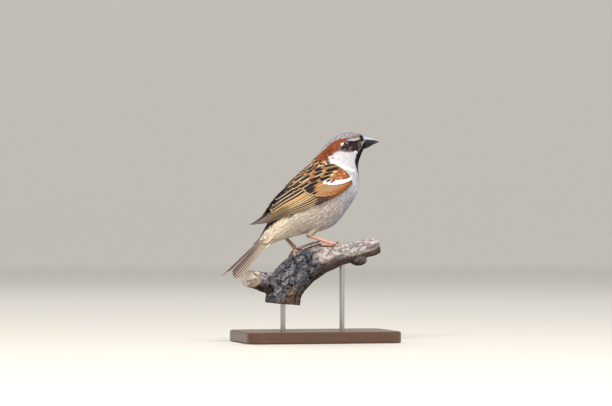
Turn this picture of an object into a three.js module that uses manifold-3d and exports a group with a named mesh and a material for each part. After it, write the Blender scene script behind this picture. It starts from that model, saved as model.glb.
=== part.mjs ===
// House sparrow (Passer domesticus), adult male, perched on a short cut branch that a small display
// stand holds. Life size, still, one solid for each part of the body.
// Millimetres, +Z up. The bird faces +X, its middle plane is Y = 0 and its left side is +Y.
// The origin is the middle of the underside of the stand's base.

import * as THREE from 'three';
import { mergeVertices } from 'three/addons/utils/BufferGeometryUtils.js';
import Module from 'manifold-3d';

const wasm = await Module();
wasm.setup();

// ---------------------------------------------------------------- driving dimensions

const GAP = 0.3; // clear space between neighbouring solids
const SIDES = { right: -1, left: 1 }; // sign of Y on each side of the bird
const DEG = Math.PI / 180;

// Sections of the feathered body, from the root of the bill to the root of the tail.
// Columns: back x, back z, belly x, belly z, half width, egg (how far the widest place sinks).
const BODY = [
  [35.4, 143.9, 35.0, 134.9, 4.0, 0],
  [31.8, 146.2, 33.3, 132.0, 6.4, 0],
  [25.3, 146.9, 31.2, 126.4, 8.6, 0],
  [17.4, 145.1, 30.6, 120.4, 9.3, 0],
  [9.8, 140.2, 31.5, 112.7, 11.0, 0.12],
  [4.0, 133.4, 29.6, 103.6, 15.2, 0.22],
  [-3.6, 124.7, 22.7, 92.8, 17.8, 0.1],
  [-13.7, 115.6, 13.7, 82.0, 18.0, 0],
  [-21.3, 106.1, 3.6, 77.7, 16.5, 0],
  [-26.7, 97.3, -8.7, 75.5, 13.4, 0],
  [-32.3, 86.2, -20.9, 72.5, 9.4, 0],
  [-37.2, 77.4, -30.3, 69.3, 6.4, 0],
];
const BODY_RINGS = 32;
const BODY_SIDES = 24;
const HEAD_CUT = [[6.5, 137.2], [31.0, 123.2]]; // nape to throat, x and z
const NECK_CUT = [[-2.2, 126.0], [31.0, 109.2]]; // mantle to upper breast

// Sections of the hull that the two folded wings lie on, from the shoulders to the wing tips.
const HULL = [
  [5.8, 136.0, 30.7, 106.5, 16.2, 0.2],
  [4.0, 133.8, 29.6, 103.6, 17.2, 0.2],
  [-3.6, 125.3, 22.7, 92.8, 19.8, 0.1],
  [-13.7, 116.3, 13.7, 82.0, 20.2, 0],
  [-22.0, 107.5, 2.5, 79.0, 18.8, 0],
  [-29.0, 100.5, -9.5, 80.0, 15.6, 0],
  [-35.5, 93.5, -21.0, 81.0, 11.5, 0],
  [-40.5, 87.2, -33.0, 80.5, 7.4, 0],
  [-48.5, 82.6, -47.0, 80.6, 3.4, 0],
];
const WING_TOP = [100, 70, 42, 28, 20, 15, 14, 18, 30]; // degrees down from the back, per section
const WING_LOW = [124, 122, 108, 95, 91, 92, 96, 104, 118]; // the wing's lower edge, the same way
const WING_START = 0.6; // section at which the wrist begins
const WING_WRIST = { middle: 104, blunt: 0.5, front: 0.12 }; // middle in degrees, length, opening
const WING_SWELL = { share: 1.6, fullness: 0.6 }; // where the shell is thick, and how fully
const WING_THICK = 1.5;
const WING_EDGE = 0.65;
const WING_RINGS = 18;
const WING_STEPS = 7;

// Tail: a thin, slightly roofed fan of feathers.
const TAIL_ROOT = [-31.3, 0, 79.0];
const TAIL_DROP = 43; // degrees below level
const TAIL_SWING = 13; // degrees towards the bird's right
const TAIL_ROLL = 16; // degrees about its own length, left edge up
const TAIL_SPREAD = 6.8; // degrees from the middle line to the outer feather
const TAIL_HALF_ROOT = 6.5;
const TAIL_MIDDLE = 44.5; // length of the middle feathers
const TAIL_OUTER = 49.5; // length of the longest feathers, near the edge
const TAIL_LONGEST_AT = 0.8; // where they lie, as a share of the half width
const TAIL_CORNER = 2.4; // how much shorter the outermost edge is
const TAIL_THICK_ROOT = 2.2;
const TAIL_THICK_TIP = 0.8;
const TAIL_ROOF = 1.6; // how much lower the edges lie than the middle
const COVERTS_ABOVE = { height: 4.5, share: 0.4 }; // soft feathers over the tail's root
const COVERTS_BELOW = { height: 8.5, share: 0.62 };
const TAIL_HIDDEN = 0.09; // share of its length inside the trunk, left out
const TAIL_RINGS = 11;
const TAIL_STEPS = 10;

// Bill. Columns: culmen x, z, cutting edge x, z, lower edge x, z, half width.
const BILL = [
  [35.75, 143.9, 35.4, 138.3, 35.35, 135.0, 3.7],
  [39.7, 143.1, 39.3, 139.2, 38.6, 136.2, 2.85],
  [43.3, 142.1, 43.0, 139.9, 42.0, 138.2, 1.75],
  [45.8, 141.1, 45.5, 140.2, 44.6, 139.3, 0.75],
  [46.9, 140.45, 46.8, 140.2, 45.6, 139.9, 0.25],
];
const BILL_LOWER_NARROWER = 0.92;
const BILL_RINGS = 7;
const BILL_ARC = 8;

const EYE_RADIUS = 3.0;
const EYE_CENTRE = [21.6, 5.55, 138.2]; // x, distance from the middle plane, z
const EYE_WIDTH_SEGMENTS = 14;
const EYE_HEIGHT_SEGMENTS = 9;

// Perch: a bent length of branch. Columns: x, z, radius.
const PERCH = [
  [-23.1, 26.6, 12.6],
  [-22.4, 35.0, 12.95],
  [-17.3, 44.1, 13.3],
  [-8.7, 51.8, 12.6],
  [2.2, 57.4, 11.5],
  [13.7, 59.8, 8.7],
  [25.3, 62.5, 7.6],
  [35.4, 65.0, 7.0],
  [45.5, 68.3, 6.6],
];
const PERCH_RINGS = 26;
const PERCH_SIDES = 16;
const KNOT_SEGMENTS = [10, 7];
const STUB_RINGS = 6;
const STUB_SIDES = 14;
const BARK_WAVE = 0.3; // height of the bark's lumps
const KNOT = { centre: [31.0, -1.5, 57.0], radius: 5.4, stretch: [1.25, 1, 0.8] };
const STUB = { from: [-24.0, 0, 39.5], to: [-56.5, -7, 46.5], rootRadius: 9.4, endRadius: 6.2 };
const STUB_CUT = { centre: [-48.8, -4, 45.2], facing: [-0.62, -0.76, 0.2] }; // its sawn face

// Legs. The heel is where the bare shank meets the feathered thigh.
const LEGS = {
  right: { knee: [2.5, -7.5, 85], heel: [-6.3, -8.0, 74.6], along: 5.03, round: -30 },
  left: { knee: [-6, 14.5, 90], heel: [-22.7, 13.0, 77.7], along: 3.22, round: 4 },
};
const THIGH_RADIUS = [4.6, 1.7];
const SHANK_RADIUS = 1.25;
const SHANK_FLARE = 0.35; // how much thicker it is at the heel and the foot, as a share
const FOOT_LIFT = 2.1; // height of the shank's end over the bark
const TOE_RADIUS = 0.9;
const TOE_TAPER = 0.22;
const TOE_PADS = { height: 0.07, count: 3 }; // pads under the joints, as a share of the radius
const TOE_START = 1.7; // distance from the middle of the foot
const CLAW_RADIUS = 0.62;
const CLAW_TIP = 0.1;
const CLAW_ARCH = 1.1; // how high its back rises over a straight line
// Toes: [step along the perch in sections, degrees round it to the left] at the end of the toe,
// and the claw's length as a share of the toe's.
const TOES = {
  right: {
    middle: { reach: [0.05, 104], claw: 0.34 },
    outer: { reach: [0.62, 72], claw: 0.36 },
    inner: { reach: [-0.45, 70], claw: 0.36 },
    hind: { reach: [-0.8, -2], claw: 0.72 },
  },
  left: {
    middle: { reach: [1.02, -14], claw: 0.3 },
    outer: { reach: [0.42, 46], claw: 0.36 },
    inner: { reach: [-0.38, -44], claw: 0.4 },
    hind: { reach: [-0.3, 36], claw: 0.62 },
  },
};
const TOE_RINGS = 6;
const TUBE_SIDES = 6;

// Stand
const BASE = { length: 110, width: 70, height: 8, corner: 8, bevel: 1 };
const ROD_RADIUS = 1.75;
const ROD_SINK = 4; // depth of the rods in the base
const ROD_SINK_IN_PERCH = 5;
const RODS = [
  { x: -23.1, perchUnderside: 26.6 },
  { x: 19.5, perchUnderside: 53.2 },
];
const ROD_SEGMENTS = 14;

// ---------------------------------------------------------------- colours and finishes

function finish(colour, roughness, metalness = 0) {
  return { color: colour, roughness, metalness };
}

const FINISHES = {
  crown: finish(0x8f8d94, 0.85),
  chestnut: finish(0x8a4a2a, 0.85),
  underparts: finish(0xc9c2b8, 0.9),
  wing: finish(0xb08a5a, 0.85),
  tail: finish(0x8d7b6e, 0.85),
  eye: finish(0x140d0a, 0.08),
  bill: finish(0x2b2b31, 0.4),
  leg: finish(0xc98f76, 0.6),
  claw: finish(0x4a3a33, 0.45),
  bark: finish(0x6f6a68, 0.95),
  base: finish(0x4b3527, 0.45),
  rod: finish(0x9a9a98, 0.35, 1),
};

// ---------------------------------------------------------------- curves through rows of numbers

function catmullRom(a, b, c, d, t) {
  const square = (2 * a - 5 * b + 4 * c - d) * t ** 2;
  const cube = (3 * b - a - 3 * c + d) * t ** 3;
  return 0.5 * (2 * b + (c - a) * t + square + cube);
}

// The row at place s of a table, smooth between its rows and straight past its ends.
function rowAt(rows, s) {
  const last = rows.length - 1;
  const i = Math.min(Math.max(Math.floor(s), 0), last - 1);
  return rows[0].map((_, k) => {
    const before = i > 0 ? rows[i - 1][k] : 2 * rows[0][k] - rows[1][k];
    const after = i < last - 1 ? rows[i + 2][k] : 2 * rows[last][k] - rows[last - 1][k];
    return catmullRom(before, rows[i][k], rows[i + 1][k], after, s - i);
  });
}

function numberAt(values, s) {
  return rowAt(values.map((value) => [value]), s)[0];
}

// Rises from 0 to 1 and sinks back to 0 as t runs from 0 to 1.
function hump(t) {
  return Math.max(Math.sin(Math.PI * t), 0);
}

function steps(count, from, to) {
  return Array.from({ length: count + 1 }, (_, i) => from + ((to - from) * i) / count);
}

// ---------------------------------------------------------------- solids

// A closed solid through rings of points. Each ring has an even number of points, and the points
// of its second half lie across from those of its first half, in reverse.
function solidThrough(rings) {
  const count = rings[0].length;
  const half = count / 2;
  const faces = [];
  const quad = (a, b, c, d) => faces.push(a, b, c, a, c, d);
  for (let i = 0; i < rings.length - 1; i += 1) {
    for (let j = 0; j < count; j += 1) {
      const next = (j + 1) % count;
      quad(i * count + j, i * count + next, (i + 1) * count + next, (i + 1) * count + j);
    }
  }
  const end = (rings.length - 1) * count;
  for (let j = 0; j < half - 1; j += 1) {
    quad(j, count - 1 - j, count - 2 - j, j + 1);
    quad(end + j, end + j + 1, end + count - 2 - j, end + count - 1 - j);
  }
  const points = rings.flat();
  const geometry = new THREE.BufferGeometry().setFromPoints(points);
  geometry.setIndex(volumeOf(points, faces) < 0 ? faces.reverse() : faces);
  return geometry;
}

function volumeOf(points, faces) {
  const cross = new THREE.Vector3();
  let sum = 0;
  for (let i = 0; i < faces.length; i += 3) {
    cross.crossVectors(points[faces[i + 1]], points[faces[i + 2]]);
    sum += points[faces[i]].dot(cross);
  }
  return sum / 6;
}

// A round rod along a path, thick as radiusAt says, with its ring across the path at each step.
function tubeAlong(path, radiusAt, rings, sides, grow = 0) {
  const across = new THREE.Vector3();
  const up = new THREE.Vector3();
  const nearly = 0.001;
  return solidThrough(steps(rings, 0, 1).map((t) => {
    const centre = path(t);
    const along = path(t + nearly).sub(path(t - nearly)).normalize();
    up.set(-along.z, 0.15, along.x);
    across.crossVectors(along, up).normalize();
    up.crossVectors(across, along);
    const radius = radiusAt(t) + grow;
    return steps(sides, 0, 2 * Math.PI).slice(0, sides).map((angle) => {
      const point = centre.clone().addScaledVector(across, radius * Math.cos(angle));
      return point.addScaledVector(up, radius * Math.sin(angle));
    });
  }));
}

function toManifold(geometry) {
  const bare = geometry.clone();
  bare.deleteAttribute('normal');
  bare.deleteAttribute('uv');
  const merged = mergeVertices(bare, 1e-5);
  return new wasm.Manifold(new wasm.Mesh({
    numProp: 3,
    vertProperties: new Float32Array(merged.attributes.position.array),
    triVerts: new Uint32Array(merged.index.array),
  }));
}

function toGeometry(solid) {
  const mesh = solid.getMesh();
  const geometry = new THREE.BufferGeometry();
  geometry.setAttribute('position', new THREE.BufferAttribute(mesh.vertProperties, 3));
  geometry.setIndex(new THREE.BufferAttribute(mesh.triVerts, 1));
  return geometry;
}

function without(geometry, ...tools) {
  const cut = tools.reduce((solid, tool) => solid.subtract(toManifold(tool)), toManifold(geometry));
  return toGeometry(cut);
}

function common(geometry, ...tools) {
  const cut = tools.reduce((solid, tool) => solid.intersect(toManifold(tool)), toManifold(geometry));
  return toGeometry(cut);
}

function joined(geometry, ...others) {
  const whole = others.reduce((solid, other) => solid.add(toManifold(other)), toManifold(geometry));
  return toGeometry(whole);
}

// A block that fills everything in front of the upright plane through a line in the middle plane,
// or everything behind it, and stays clear of that plane by half the gap.
function halfSpace([[x0, z0], [x1, z1]], front) {
  const size = 400;
  const slope = Math.atan2(z1 - z0, x1 - x0);
  const block = new THREE.BoxGeometry(size, size, size);
  block.translate(0, 0, (front ? 1 : -1) * (size / 2 + GAP / 2));
  block.rotateY(-slope);
  block.translate(x0, 0, z0);
  return block;
}

// ---------------------------------------------------------------- head, neck and trunk

// A point on the body or the wing hull. Angle 0 is the middle of the back, 180 degrees the belly.
function sectionPoint(rows, s, angle, grow = 0) {
  const [backX, backZ, bellyX, bellyZ, half, egg] = rowAt(rows, s);
  const reach = Math.hypot(backX - bellyX, backZ - bellyZ) / 2;
  const up = (Math.cos(angle) * (1 + grow / reach)) / 2;
  return new THREE.Vector3(
    (backX + bellyX) / 2 + (backX - bellyX) * up,
    (half + grow) * Math.sin(angle) * (1 - egg * Math.cos(angle)),
    (backZ + bellyZ) / 2 + (backZ - bellyZ) * up,
  );
}

function bodySolid(grow = 0) {
  const last = BODY.length - 1;
  const over = grow / 10; // sections are about 10 mm apart at the ends
  const angles = steps(BODY_SIDES, 0, 2 * Math.PI).slice(0, BODY_SIDES);
  const shift = Math.PI / BODY_SIDES;
  return solidThrough(steps(BODY_RINGS, -over, last + over).map((s) => (
    angles.map((angle) => sectionPoint(BODY, s, angle + shift, grow))
  )));
}

const bodyWithGap = bodySolid(GAP);

function eyeBall(side, grow = 0) {
  const [x, out, z] = EYE_CENTRE;
  const ball = new THREE.SphereGeometry(EYE_RADIUS + grow, EYE_WIDTH_SEGMENTS, EYE_HEIGHT_SEGMENTS);
  ball.rotateX(Math.PI / 2);
  ball.translate(x, side * out, z);
  return ball;
}

function headSolid() {
  const front = common(bodySolid(), halfSpace(HEAD_CUT, true));
  return without(front, eyeBall(SIDES.right, GAP), eyeBall(SIDES.left, GAP));
}

function neckSolid() {
  return common(bodySolid(), halfSpace(HEAD_CUT, false), halfSpace(NECK_CUT, true));
}

function trunkSolid() {
  return common(bodySolid(), halfSpace(NECK_CUT, false));
}

// ---------------------------------------------------------------- bill

// One half of the bill: an arch over the cutting edge, or a keel under it.
function billHalf(upper) {
  const last = BILL.length - 1;
  return solidThrough(steps(BILL_RINGS, 0, last).map((s) => {
    const [topX, topZ, edgeX, edgeZ, lowX, lowZ, half] = rowAt(BILL, s);
    const inset = (upper ? 1 : -1) * Math.min(GAP / 2, Math.abs((upper ? topZ : lowZ) - edgeZ) / 2);
    const crest = upper ? [topX, topZ] : [lowX, lowZ];
    const arc = steps(BILL_ARC - 1, 0, Math.PI).map((angle) => new THREE.Vector3(
      edgeX + (crest[0] - edgeX) * Math.sin(angle),
      half * Math.cos(angle) * (upper ? 1 : BILL_LOWER_NARROWER),
      edgeZ + inset + (crest[1] - edgeZ - inset) * Math.sin(angle),
    ));
    const floor = steps(BILL_ARC + 1, 0, 1).slice(1, -1).map((t) => (
      arc[BILL_ARC - 1].clone().lerp(arc[0], t)
    ));
    return [...arc, ...floor];
  }));
}

// ---------------------------------------------------------------- wings and tail

function wingSolid(side) {
  const last = HULL.length - 1;
  const extra = WING_THICK - WING_EDGE;
  const shell = solidThrough(steps(WING_RINGS, WING_START, last).map((s) => {
    const share = (s - WING_START) / (last - WING_START);
    const { middle: wrist, blunt, front } = WING_WRIST;
    const open = Math.sin((Math.min((s - WING_START) / blunt + front, 1) * Math.PI) / 2);
    const top = (wrist + (numberAt(WING_TOP, s) - wrist) * open) * DEG;
    const low = (wrist + (numberAt(WING_LOW, s) - wrist) * open) * DEG;
    const swell = extra * hump(Math.min(share * WING_SWELL.share, 1) ** WING_SWELL.fullness);
    const places = steps(WING_STEPS, 0, 1);
    const layer = (depthAt) => places.map((u) => (
      sectionPoint(HULL, s, side * (top + (low - top) * u), -depthAt(u))
    ));
    const outer = layer(() => 0);
    const inner = layer((u) => WING_EDGE + swell * hump(u) ** WING_SWELL.fullness);
    return [...outer, ...inner.reverse()];
  }));
  return without(shell, bodyWithGap);
}

function tailAxes() {
  const drop = TAIL_DROP * DEG;
  const swing = TAIL_SWING * DEG;
  const along = new THREE.Vector3(-Math.cos(drop) * Math.cos(swing), -Math.sin(swing),
    -Math.sin(drop) * Math.cos(swing)).normalize();
  const above = new THREE.Vector3(-Math.sin(drop), 0, Math.cos(drop));
  const across = new THREE.Vector3().crossVectors(above, along).normalize();
  across.multiplyScalar(Math.sign(across.y));
  const normal = new THREE.Vector3().crossVectors(along, across).normalize();
  normal.multiplyScalar(Math.sign(normal.z));
  const roll = TAIL_ROLL * DEG;
  const left = across.clone().multiplyScalar(Math.cos(roll)).addScaledVector(normal, Math.sin(roll));
  const up = normal.clone().multiplyScalar(Math.cos(roll)).addScaledVector(across, -Math.sin(roll));
  return { along, left, up };
}

// How long the tail is at place u, from -1 at its right edge to 1 at its left edge.
function tailLength(u) {
  const out = Math.abs(u);
  const rise = Math.sin((Math.min(out / TAIL_LONGEST_AT, 1) * Math.PI) / 2);
  const fall = (TAIL_CORNER * Math.max(out - TAIL_LONGEST_AT, 0)) / (1 - TAIL_LONGEST_AT);
  return TAIL_MIDDLE + (TAIL_OUTER - TAIL_MIDDLE) * rise - fall;
}

function coverts({ height, share }, v) {
  return height * Math.max(1 - v / share, 0) ** 1.6;
}

function tailSolid() {
  const { along, left, up } = tailAxes();
  const root = new THREE.Vector3(...TAIL_ROOT);
  const point = (u, v, depth) => {
    const turn = u * TAIL_SPREAD * DEG;
    const reach = v * tailLength(u);
    return root.clone()
      .addScaledVector(left, u * TAIL_HALF_ROOT + Math.sin(turn) * reach)
      .addScaledVector(along, Math.cos(turn) * reach)
      .addScaledVector(up, -TAIL_ROOF * u * u - depth);
  };
  const fan = solidThrough(steps(TAIL_RINGS, TAIL_HIDDEN, 1).map((v) => {
    const thick = TAIL_THICK_TIP + (TAIL_THICK_ROOT - TAIL_THICK_TIP) * (1 - v);
    const over = coverts(COVERTS_ABOVE, v);
    const under = coverts(COVERTS_BELOW, v);
    const places = steps(TAIL_STEPS, -1, 1);
    const above = places.map((u) => point(u, v, -over * (1 - u * u)));
    const below = places.map((u) => point(u, v, thick + under * (1 - u * u)));
    return [...above, ...below.reverse()];
  }));
  return without(fan, bodyWithGap);
}

// ---------------------------------------------------------------- perch

// Height of the bark's lumps at a place along the perch and round it.
function barkLump(s, round) {
  const slow = Math.sin(3.1 * s + 2 * round) * Math.cos(1.7 * s - round);
  return BARK_WAVE * (slow + 0.5 * Math.sin(6.3 * s + 3 * round));
}

// A point over the bark. Round 0 is the top of the branch, and it grows towards the bird's left.
function perchPoint(s, round, lift = 0) {
  const [x, z, radius] = rowAt(PERCH, s);
  const [nextX, nextZ] = rowAt(PERCH, s + 0.01);
  const slope = Math.atan2(nextZ - z, nextX - x);
  const out = radius + barkLump(s, round) + lift;
  return new THREE.Vector3(
    x - Math.sin(slope) * out * Math.cos(round),
    out * Math.sin(round),
    z + Math.cos(slope) * out * Math.cos(round),
  );
}

function rodSolid(rod, grow = 0) {
  const foot = BASE.height - ROD_SINK - grow;
  const head = rod.perchUnderside + ROD_SINK_IN_PERCH + grow;
  const cylinder = new THREE.CylinderGeometry(ROD_RADIUS + grow, ROD_RADIUS + grow, head - foot,
    ROD_SEGMENTS);
  cylinder.rotateX(Math.PI / 2);
  cylinder.translate(rod.x, 0, (head + foot) / 2);
  return cylinder;
}

// The stump of a side branch, sawn off aslant.
function stubSolid() {
  const from = new THREE.Vector3(...STUB.from);
  const to = new THREE.Vector3(...STUB.to);
  const narrowing = STUB.endRadius - STUB.rootRadius;
  const stump = tubeAlong((t) => from.clone().lerp(to, t),
    (t) => STUB.rootRadius + narrowing * Math.sin((t * Math.PI) / 2), STUB_RINGS, STUB_SIDES);
  const size = 40;
  const centre = new THREE.Vector3(...STUB_CUT.centre);
  const facing = new THREE.Vector3(...STUB_CUT.facing).normalize();
  const waste = new THREE.BoxGeometry(size, size, size);
  waste.translate(0, 0, size / 2);
  waste.lookAt(facing);
  waste.translate(...centre);
  return without(stump, waste);
}

function perchSolid() {
  const last = PERCH.length - 1;
  const rounds = steps(PERCH_SIDES, 0, 2 * Math.PI).slice(0, PERCH_SIDES);
  const branch = solidThrough(steps(PERCH_RINGS, 0, last).map((s) => (
    rounds.map((round) => perchPoint(s, round))
  )));
  const knot = new THREE.SphereGeometry(KNOT.radius, ...KNOT_SEGMENTS);
  knot.scale(...KNOT.stretch);
  knot.translate(...KNOT.centre);
  const whole = joined(branch, knot, stubSolid());
  return without(whole, ...RODS.map((rod) => rodSolid(rod, GAP)));
}

// ---------------------------------------------------------------- legs, toes and claws

function footPoint(side, lift) {
  const { along, round } = LEGS[side];
  return perchPoint(along, round * DEG, lift);
}

function shankSolid(side, grow = 0) {
  const heel = new THREE.Vector3(...LEGS[side].heel);
  const foot = footPoint(side, FOOT_LIFT);
  const thick = (t) => SHANK_RADIUS * (1 + SHANK_FLARE * (2 * t - 1) ** 4);
  return tubeAlong((t) => heel.clone().lerp(foot, t * (1 + grow / 20)), thick, 8, TUBE_SIDES, grow);
}

function thighSolid(side) {
  const heel = new THREE.Vector3(...LEGS[side].heel);
  const knee = new THREE.Vector3(...LEGS[side].knee);
  const [top, low] = THIGH_RADIUS;
  const limb = tubeAlong((t) => knee.clone().lerp(heel, t), (t) => top + (low - top) * t ** 0.8,
    6, 12);
  return without(limb, bodyWithGap, shankSolid(side, GAP));
}

// Where a toe lies: from the middle of the foot (t = 0) to the end of the toe (t = 1) and on, as
// one straight run over the bark.
function toePath(side, toe) {
  const { along, round } = LEGS[side];
  const [step, turn] = TOES[side][toe].reach;
  return (t, lift) => perchPoint(along + step * t, (round + turn * t) * DEG, lift);
}

function toeSpan(side, toe) {
  const path = toePath(side, toe);
  const length = path(0, TOE_RADIUS).distanceTo(path(0.5, TOE_RADIUS))
    + path(0.5, TOE_RADIUS).distanceTo(path(1, TOE_RADIUS));
  return { start: TOE_START / length, length };
}

function pads(t) {
  return TOE_PADS.height * Math.cos(2 * Math.PI * TOE_PADS.count * t);
}

function toeSolid(side, toe, grow = 0) {
  const path = toePath(side, toe);
  const { start } = toeSpan(side, toe);
  const lift = TOE_RADIUS + GAP;
  const thick = (t) => TOE_RADIUS * (1 - TOE_TAPER * t + pads(t));
  return tubeAlong((t) => path(start + (1 - start) * t, lift), thick, TOE_RINGS, TUBE_SIDES, grow);
}

function clawSolid(side, toe) {
  const path = toePath(side, toe);
  const { length } = toeSpan(side, toe);
  const begin = 1 + (GAP * 1.3) / length;
  const share = TOES[side][toe].claw;
  const low = CLAW_RADIUS + GAP * 1.5;
  const arch = (t) => low * (1 - 0.5 * t) + CLAW_ARCH * hump(Math.min(t + 0.12, 1));
  return tubeAlong((t) => path(begin + share * t, arch(t)),
    (t) => CLAW_RADIUS * (1 - t) ** 0.8 + CLAW_TIP, TOE_RINGS, TUBE_SIDES);
}

function footSolids(side) {
  const shank = shankSolid(side, GAP);
  const middle = toeSolid(side, 'middle', GAP);
  const outer = toeSolid(side, 'outer', GAP);
  const inner = toeSolid(side, 'inner', GAP);
  return {
    middle: without(toeSolid(side, 'middle'), shank),
    outer: without(toeSolid(side, 'outer'), shank, middle),
    inner: without(toeSolid(side, 'inner'), shank, middle, outer),
    hind: without(toeSolid(side, 'hind'), shank, middle, outer, inner),
  };
}

// ---------------------------------------------------------------- stand

function baseSolid() {
  const { length, width, height, corner, bevel } = BASE;
  const x = length / 2 - bevel;
  const y = width / 2 - bevel;
  const outline = new THREE.Shape();
  outline.moveTo(-x + corner, -y);
  outline.lineTo(x - corner, -y);
  outline.absarc(x - corner, -y + corner, corner, -Math.PI / 2, 0, false);
  outline.absarc(x - corner, y - corner, corner, 0, Math.PI / 2, false);
  outline.absarc(-x + corner, y - corner, corner, Math.PI / 2, Math.PI, false);
  outline.absarc(-x + corner, -y + corner, corner, Math.PI, 1.5 * Math.PI, false);
  const block = new THREE.ExtrudeGeometry(outline, {
    depth: height - 2 * bevel,
    bevelEnabled: true,
    bevelThickness: bevel,
    bevelSize: bevel,
    bevelSegments: 1,
    curveSegments: 4,
  });
  block.translate(0, 0, bevel);
  return without(block, ...RODS.map((rod) => rodSolid(rod, GAP)));
}

// ---------------------------------------------------------------- the model

const model = new THREE.Group();

function place(name, geometry, look) {
  const mesh = new THREE.Mesh(geometry, new THREE.MeshStandardMaterial(FINISHES[look]));
  mesh.name = name;
  model.add(mesh);
}

place('head', headSolid(), 'crown');
place('neck', neckSolid(), 'chestnut');
place('trunk', trunkSolid(), 'underparts');
place('bill_upper', billHalf(true), 'bill');
place('bill_lower', billHalf(false), 'bill');
place('tail', tailSolid(), 'tail');
Object.entries(SIDES).forEach(([side, sign]) => {
  place(`eye_${side}`, eyeBall(sign), 'eye');
  place(`wing_${side}`, wingSolid(sign), 'wing');
  place(`thigh_${side}`, thighSolid(side), 'underparts');
  place(`shank_${side}`, shankSolid(side), 'leg');
  Object.entries(footSolids(side)).forEach(([toe, solid]) => {
    place(`toe_${side}_${toe}`, solid, 'leg');
    place(`claw_${side}_${toe}`, clawSolid(side, toe), 'claw');
  });
});
place('perch', perchSolid(), 'bark');
place('stand_base', baseSolid(), 'base');
RODS.forEach((rod, i) => place(`stand_rod_${i + 1}`, rodSolid(rod), 'rod'));

export default model;
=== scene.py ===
import math

import bpy
import numpy as np
from bpy.props import FloatProperty, FloatVectorProperty, IntProperty, PointerProperty
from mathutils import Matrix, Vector, noise


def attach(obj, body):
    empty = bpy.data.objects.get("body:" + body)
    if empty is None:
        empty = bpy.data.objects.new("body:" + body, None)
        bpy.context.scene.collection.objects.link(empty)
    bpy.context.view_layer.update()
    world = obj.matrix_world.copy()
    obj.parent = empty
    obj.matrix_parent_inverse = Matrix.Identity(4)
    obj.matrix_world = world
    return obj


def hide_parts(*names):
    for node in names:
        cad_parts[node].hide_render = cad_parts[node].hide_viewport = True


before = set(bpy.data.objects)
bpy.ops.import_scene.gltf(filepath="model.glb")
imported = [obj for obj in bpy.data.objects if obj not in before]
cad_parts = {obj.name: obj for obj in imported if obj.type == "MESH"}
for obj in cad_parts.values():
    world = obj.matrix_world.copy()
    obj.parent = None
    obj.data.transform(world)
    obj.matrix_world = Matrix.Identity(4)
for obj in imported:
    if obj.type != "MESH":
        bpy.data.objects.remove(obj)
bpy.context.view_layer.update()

bl_info = {
    "name": "Perched house sparrow",
    "version": (1, 0, 0),
    "blender": (4, 5, 0),
    "location": "3D View > Sidebar > Sparrow",
    "description": "Makes a life-size cock house sparrow on a cut length of branch",
    "category": "Add Mesh",
}

MM = 0.001
CIRCLE = 2 * math.pi
SIDES = {"right": -1, "left": 1}

# ------------------------------------------------------------------ sizes shared with the solids

# Body sections from the bill to the tail, in mm: middle of the back (x, z), middle of the belly
# (x, z), half width, and how far the widest place is shifted down.
BODY = np.array([
    (35.4, 143.9, 35.0, 134.9, 4.0, 0), (31.8, 146.2, 33.3, 132.0, 6.4, 0),
    (25.3, 146.9, 31.2, 126.4, 8.6, 0), (17.4, 145.1, 30.6, 120.4, 9.3, 0),
    (9.8, 140.2, 31.5, 112.7, 11.0, 0.12), (4.0, 133.4, 29.6, 103.6, 15.2, 0.22),
    (-3.6, 124.7, 22.7, 92.8, 17.8, 0.1), (-13.7, 115.6, 13.7, 82.0, 18.0, 0),
    (-21.3, 106.1, 3.6, 77.7, 16.5, 0), (-26.7, 97.3, -8.7, 75.5, 13.4, 0),
    (-32.3, 86.2, -20.9, 72.5, 9.4, 0), (-37.2, 77.4, -30.3, 69.3, 6.4, 0),
])
# The surface that the folded wings lie on, in the same columns, from HULL_START on the body.
HULL_START = 4.0
HULL = np.array([
    (5.8, 136.0, 30.7, 106.5, 16.2, 0.2), (4.0, 133.8, 29.6, 103.6, 17.2, 0.2),
    (-3.6, 125.3, 22.7, 92.8, 19.8, 0.1), (-13.7, 116.3, 13.7, 82.0, 20.2, 0),
    (-22.0, 107.5, 2.5, 79.0, 18.8, 0), (-29.0, 100.5, -9.5, 80.0, 15.6, 0),
    (-35.5, 93.5, -21.0, 81.0, 11.5, 0), (-40.5, 87.2, -33.0, 80.5, 7.4, 0),
    (-48.5, 82.6, -47.0, 80.6, 3.4, 0),
])
# Degrees from the back at the wing's upper and lower edge, at each section of the hull.
WING_TOP = np.array([100, 70, 42, 28, 20, 15, 14, 18, 30])
WING_LOW = np.array([124, 122, 108, 95, 91, 92, 96, 104, 118])
WING_START = 0.6
WRIST = 104  # where both edges meet, in degrees
EYE = np.array([21.6, 5.55, 138.2])
EYE_RADIUS = 3.0
ROOT_CLEAR, TIP_CLEAR = 2.75, 2.35  # how far feathers keep from the middle of the eye
BILL = np.array([
    (35.75, 143.9, 35.4, 138.3, 35.35, 135.0, 3.7), (39.7, 143.1, 39.3, 139.2, 38.6, 136.2, 2.85),
    (43.3, 142.1, 43.0, 139.9, 42.0, 138.2, 1.75), (45.8, 141.1, 45.5, 140.2, 44.6, 139.3, 0.75),
    (46.9, 140.45, 46.8, 140.2, 45.6, 139.9, 0.25),
])
PERCH = np.array([
    (-23.1, 26.6, 12.6), (-22.4, 35.0, 12.95), (-17.3, 44.1, 13.3), (-8.7, 51.8, 12.6),
    (2.2, 57.4, 11.5), (13.7, 59.8, 8.7), (25.3, 62.5, 7.6), (35.4, 65.0, 7.0), (45.5, 68.3, 6.6),
])
LEGS = {
    "right": {"knee": (2.5, -7.5, 85), "heel": (-6.3, -8.0, 74.6), "along": 5.03, "round": -30},
    "left": {"knee": (-6, 14.5, 90), "heel": (-22.7, 13.0, 77.7), "along": 3.22, "round": 4},
}
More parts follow.
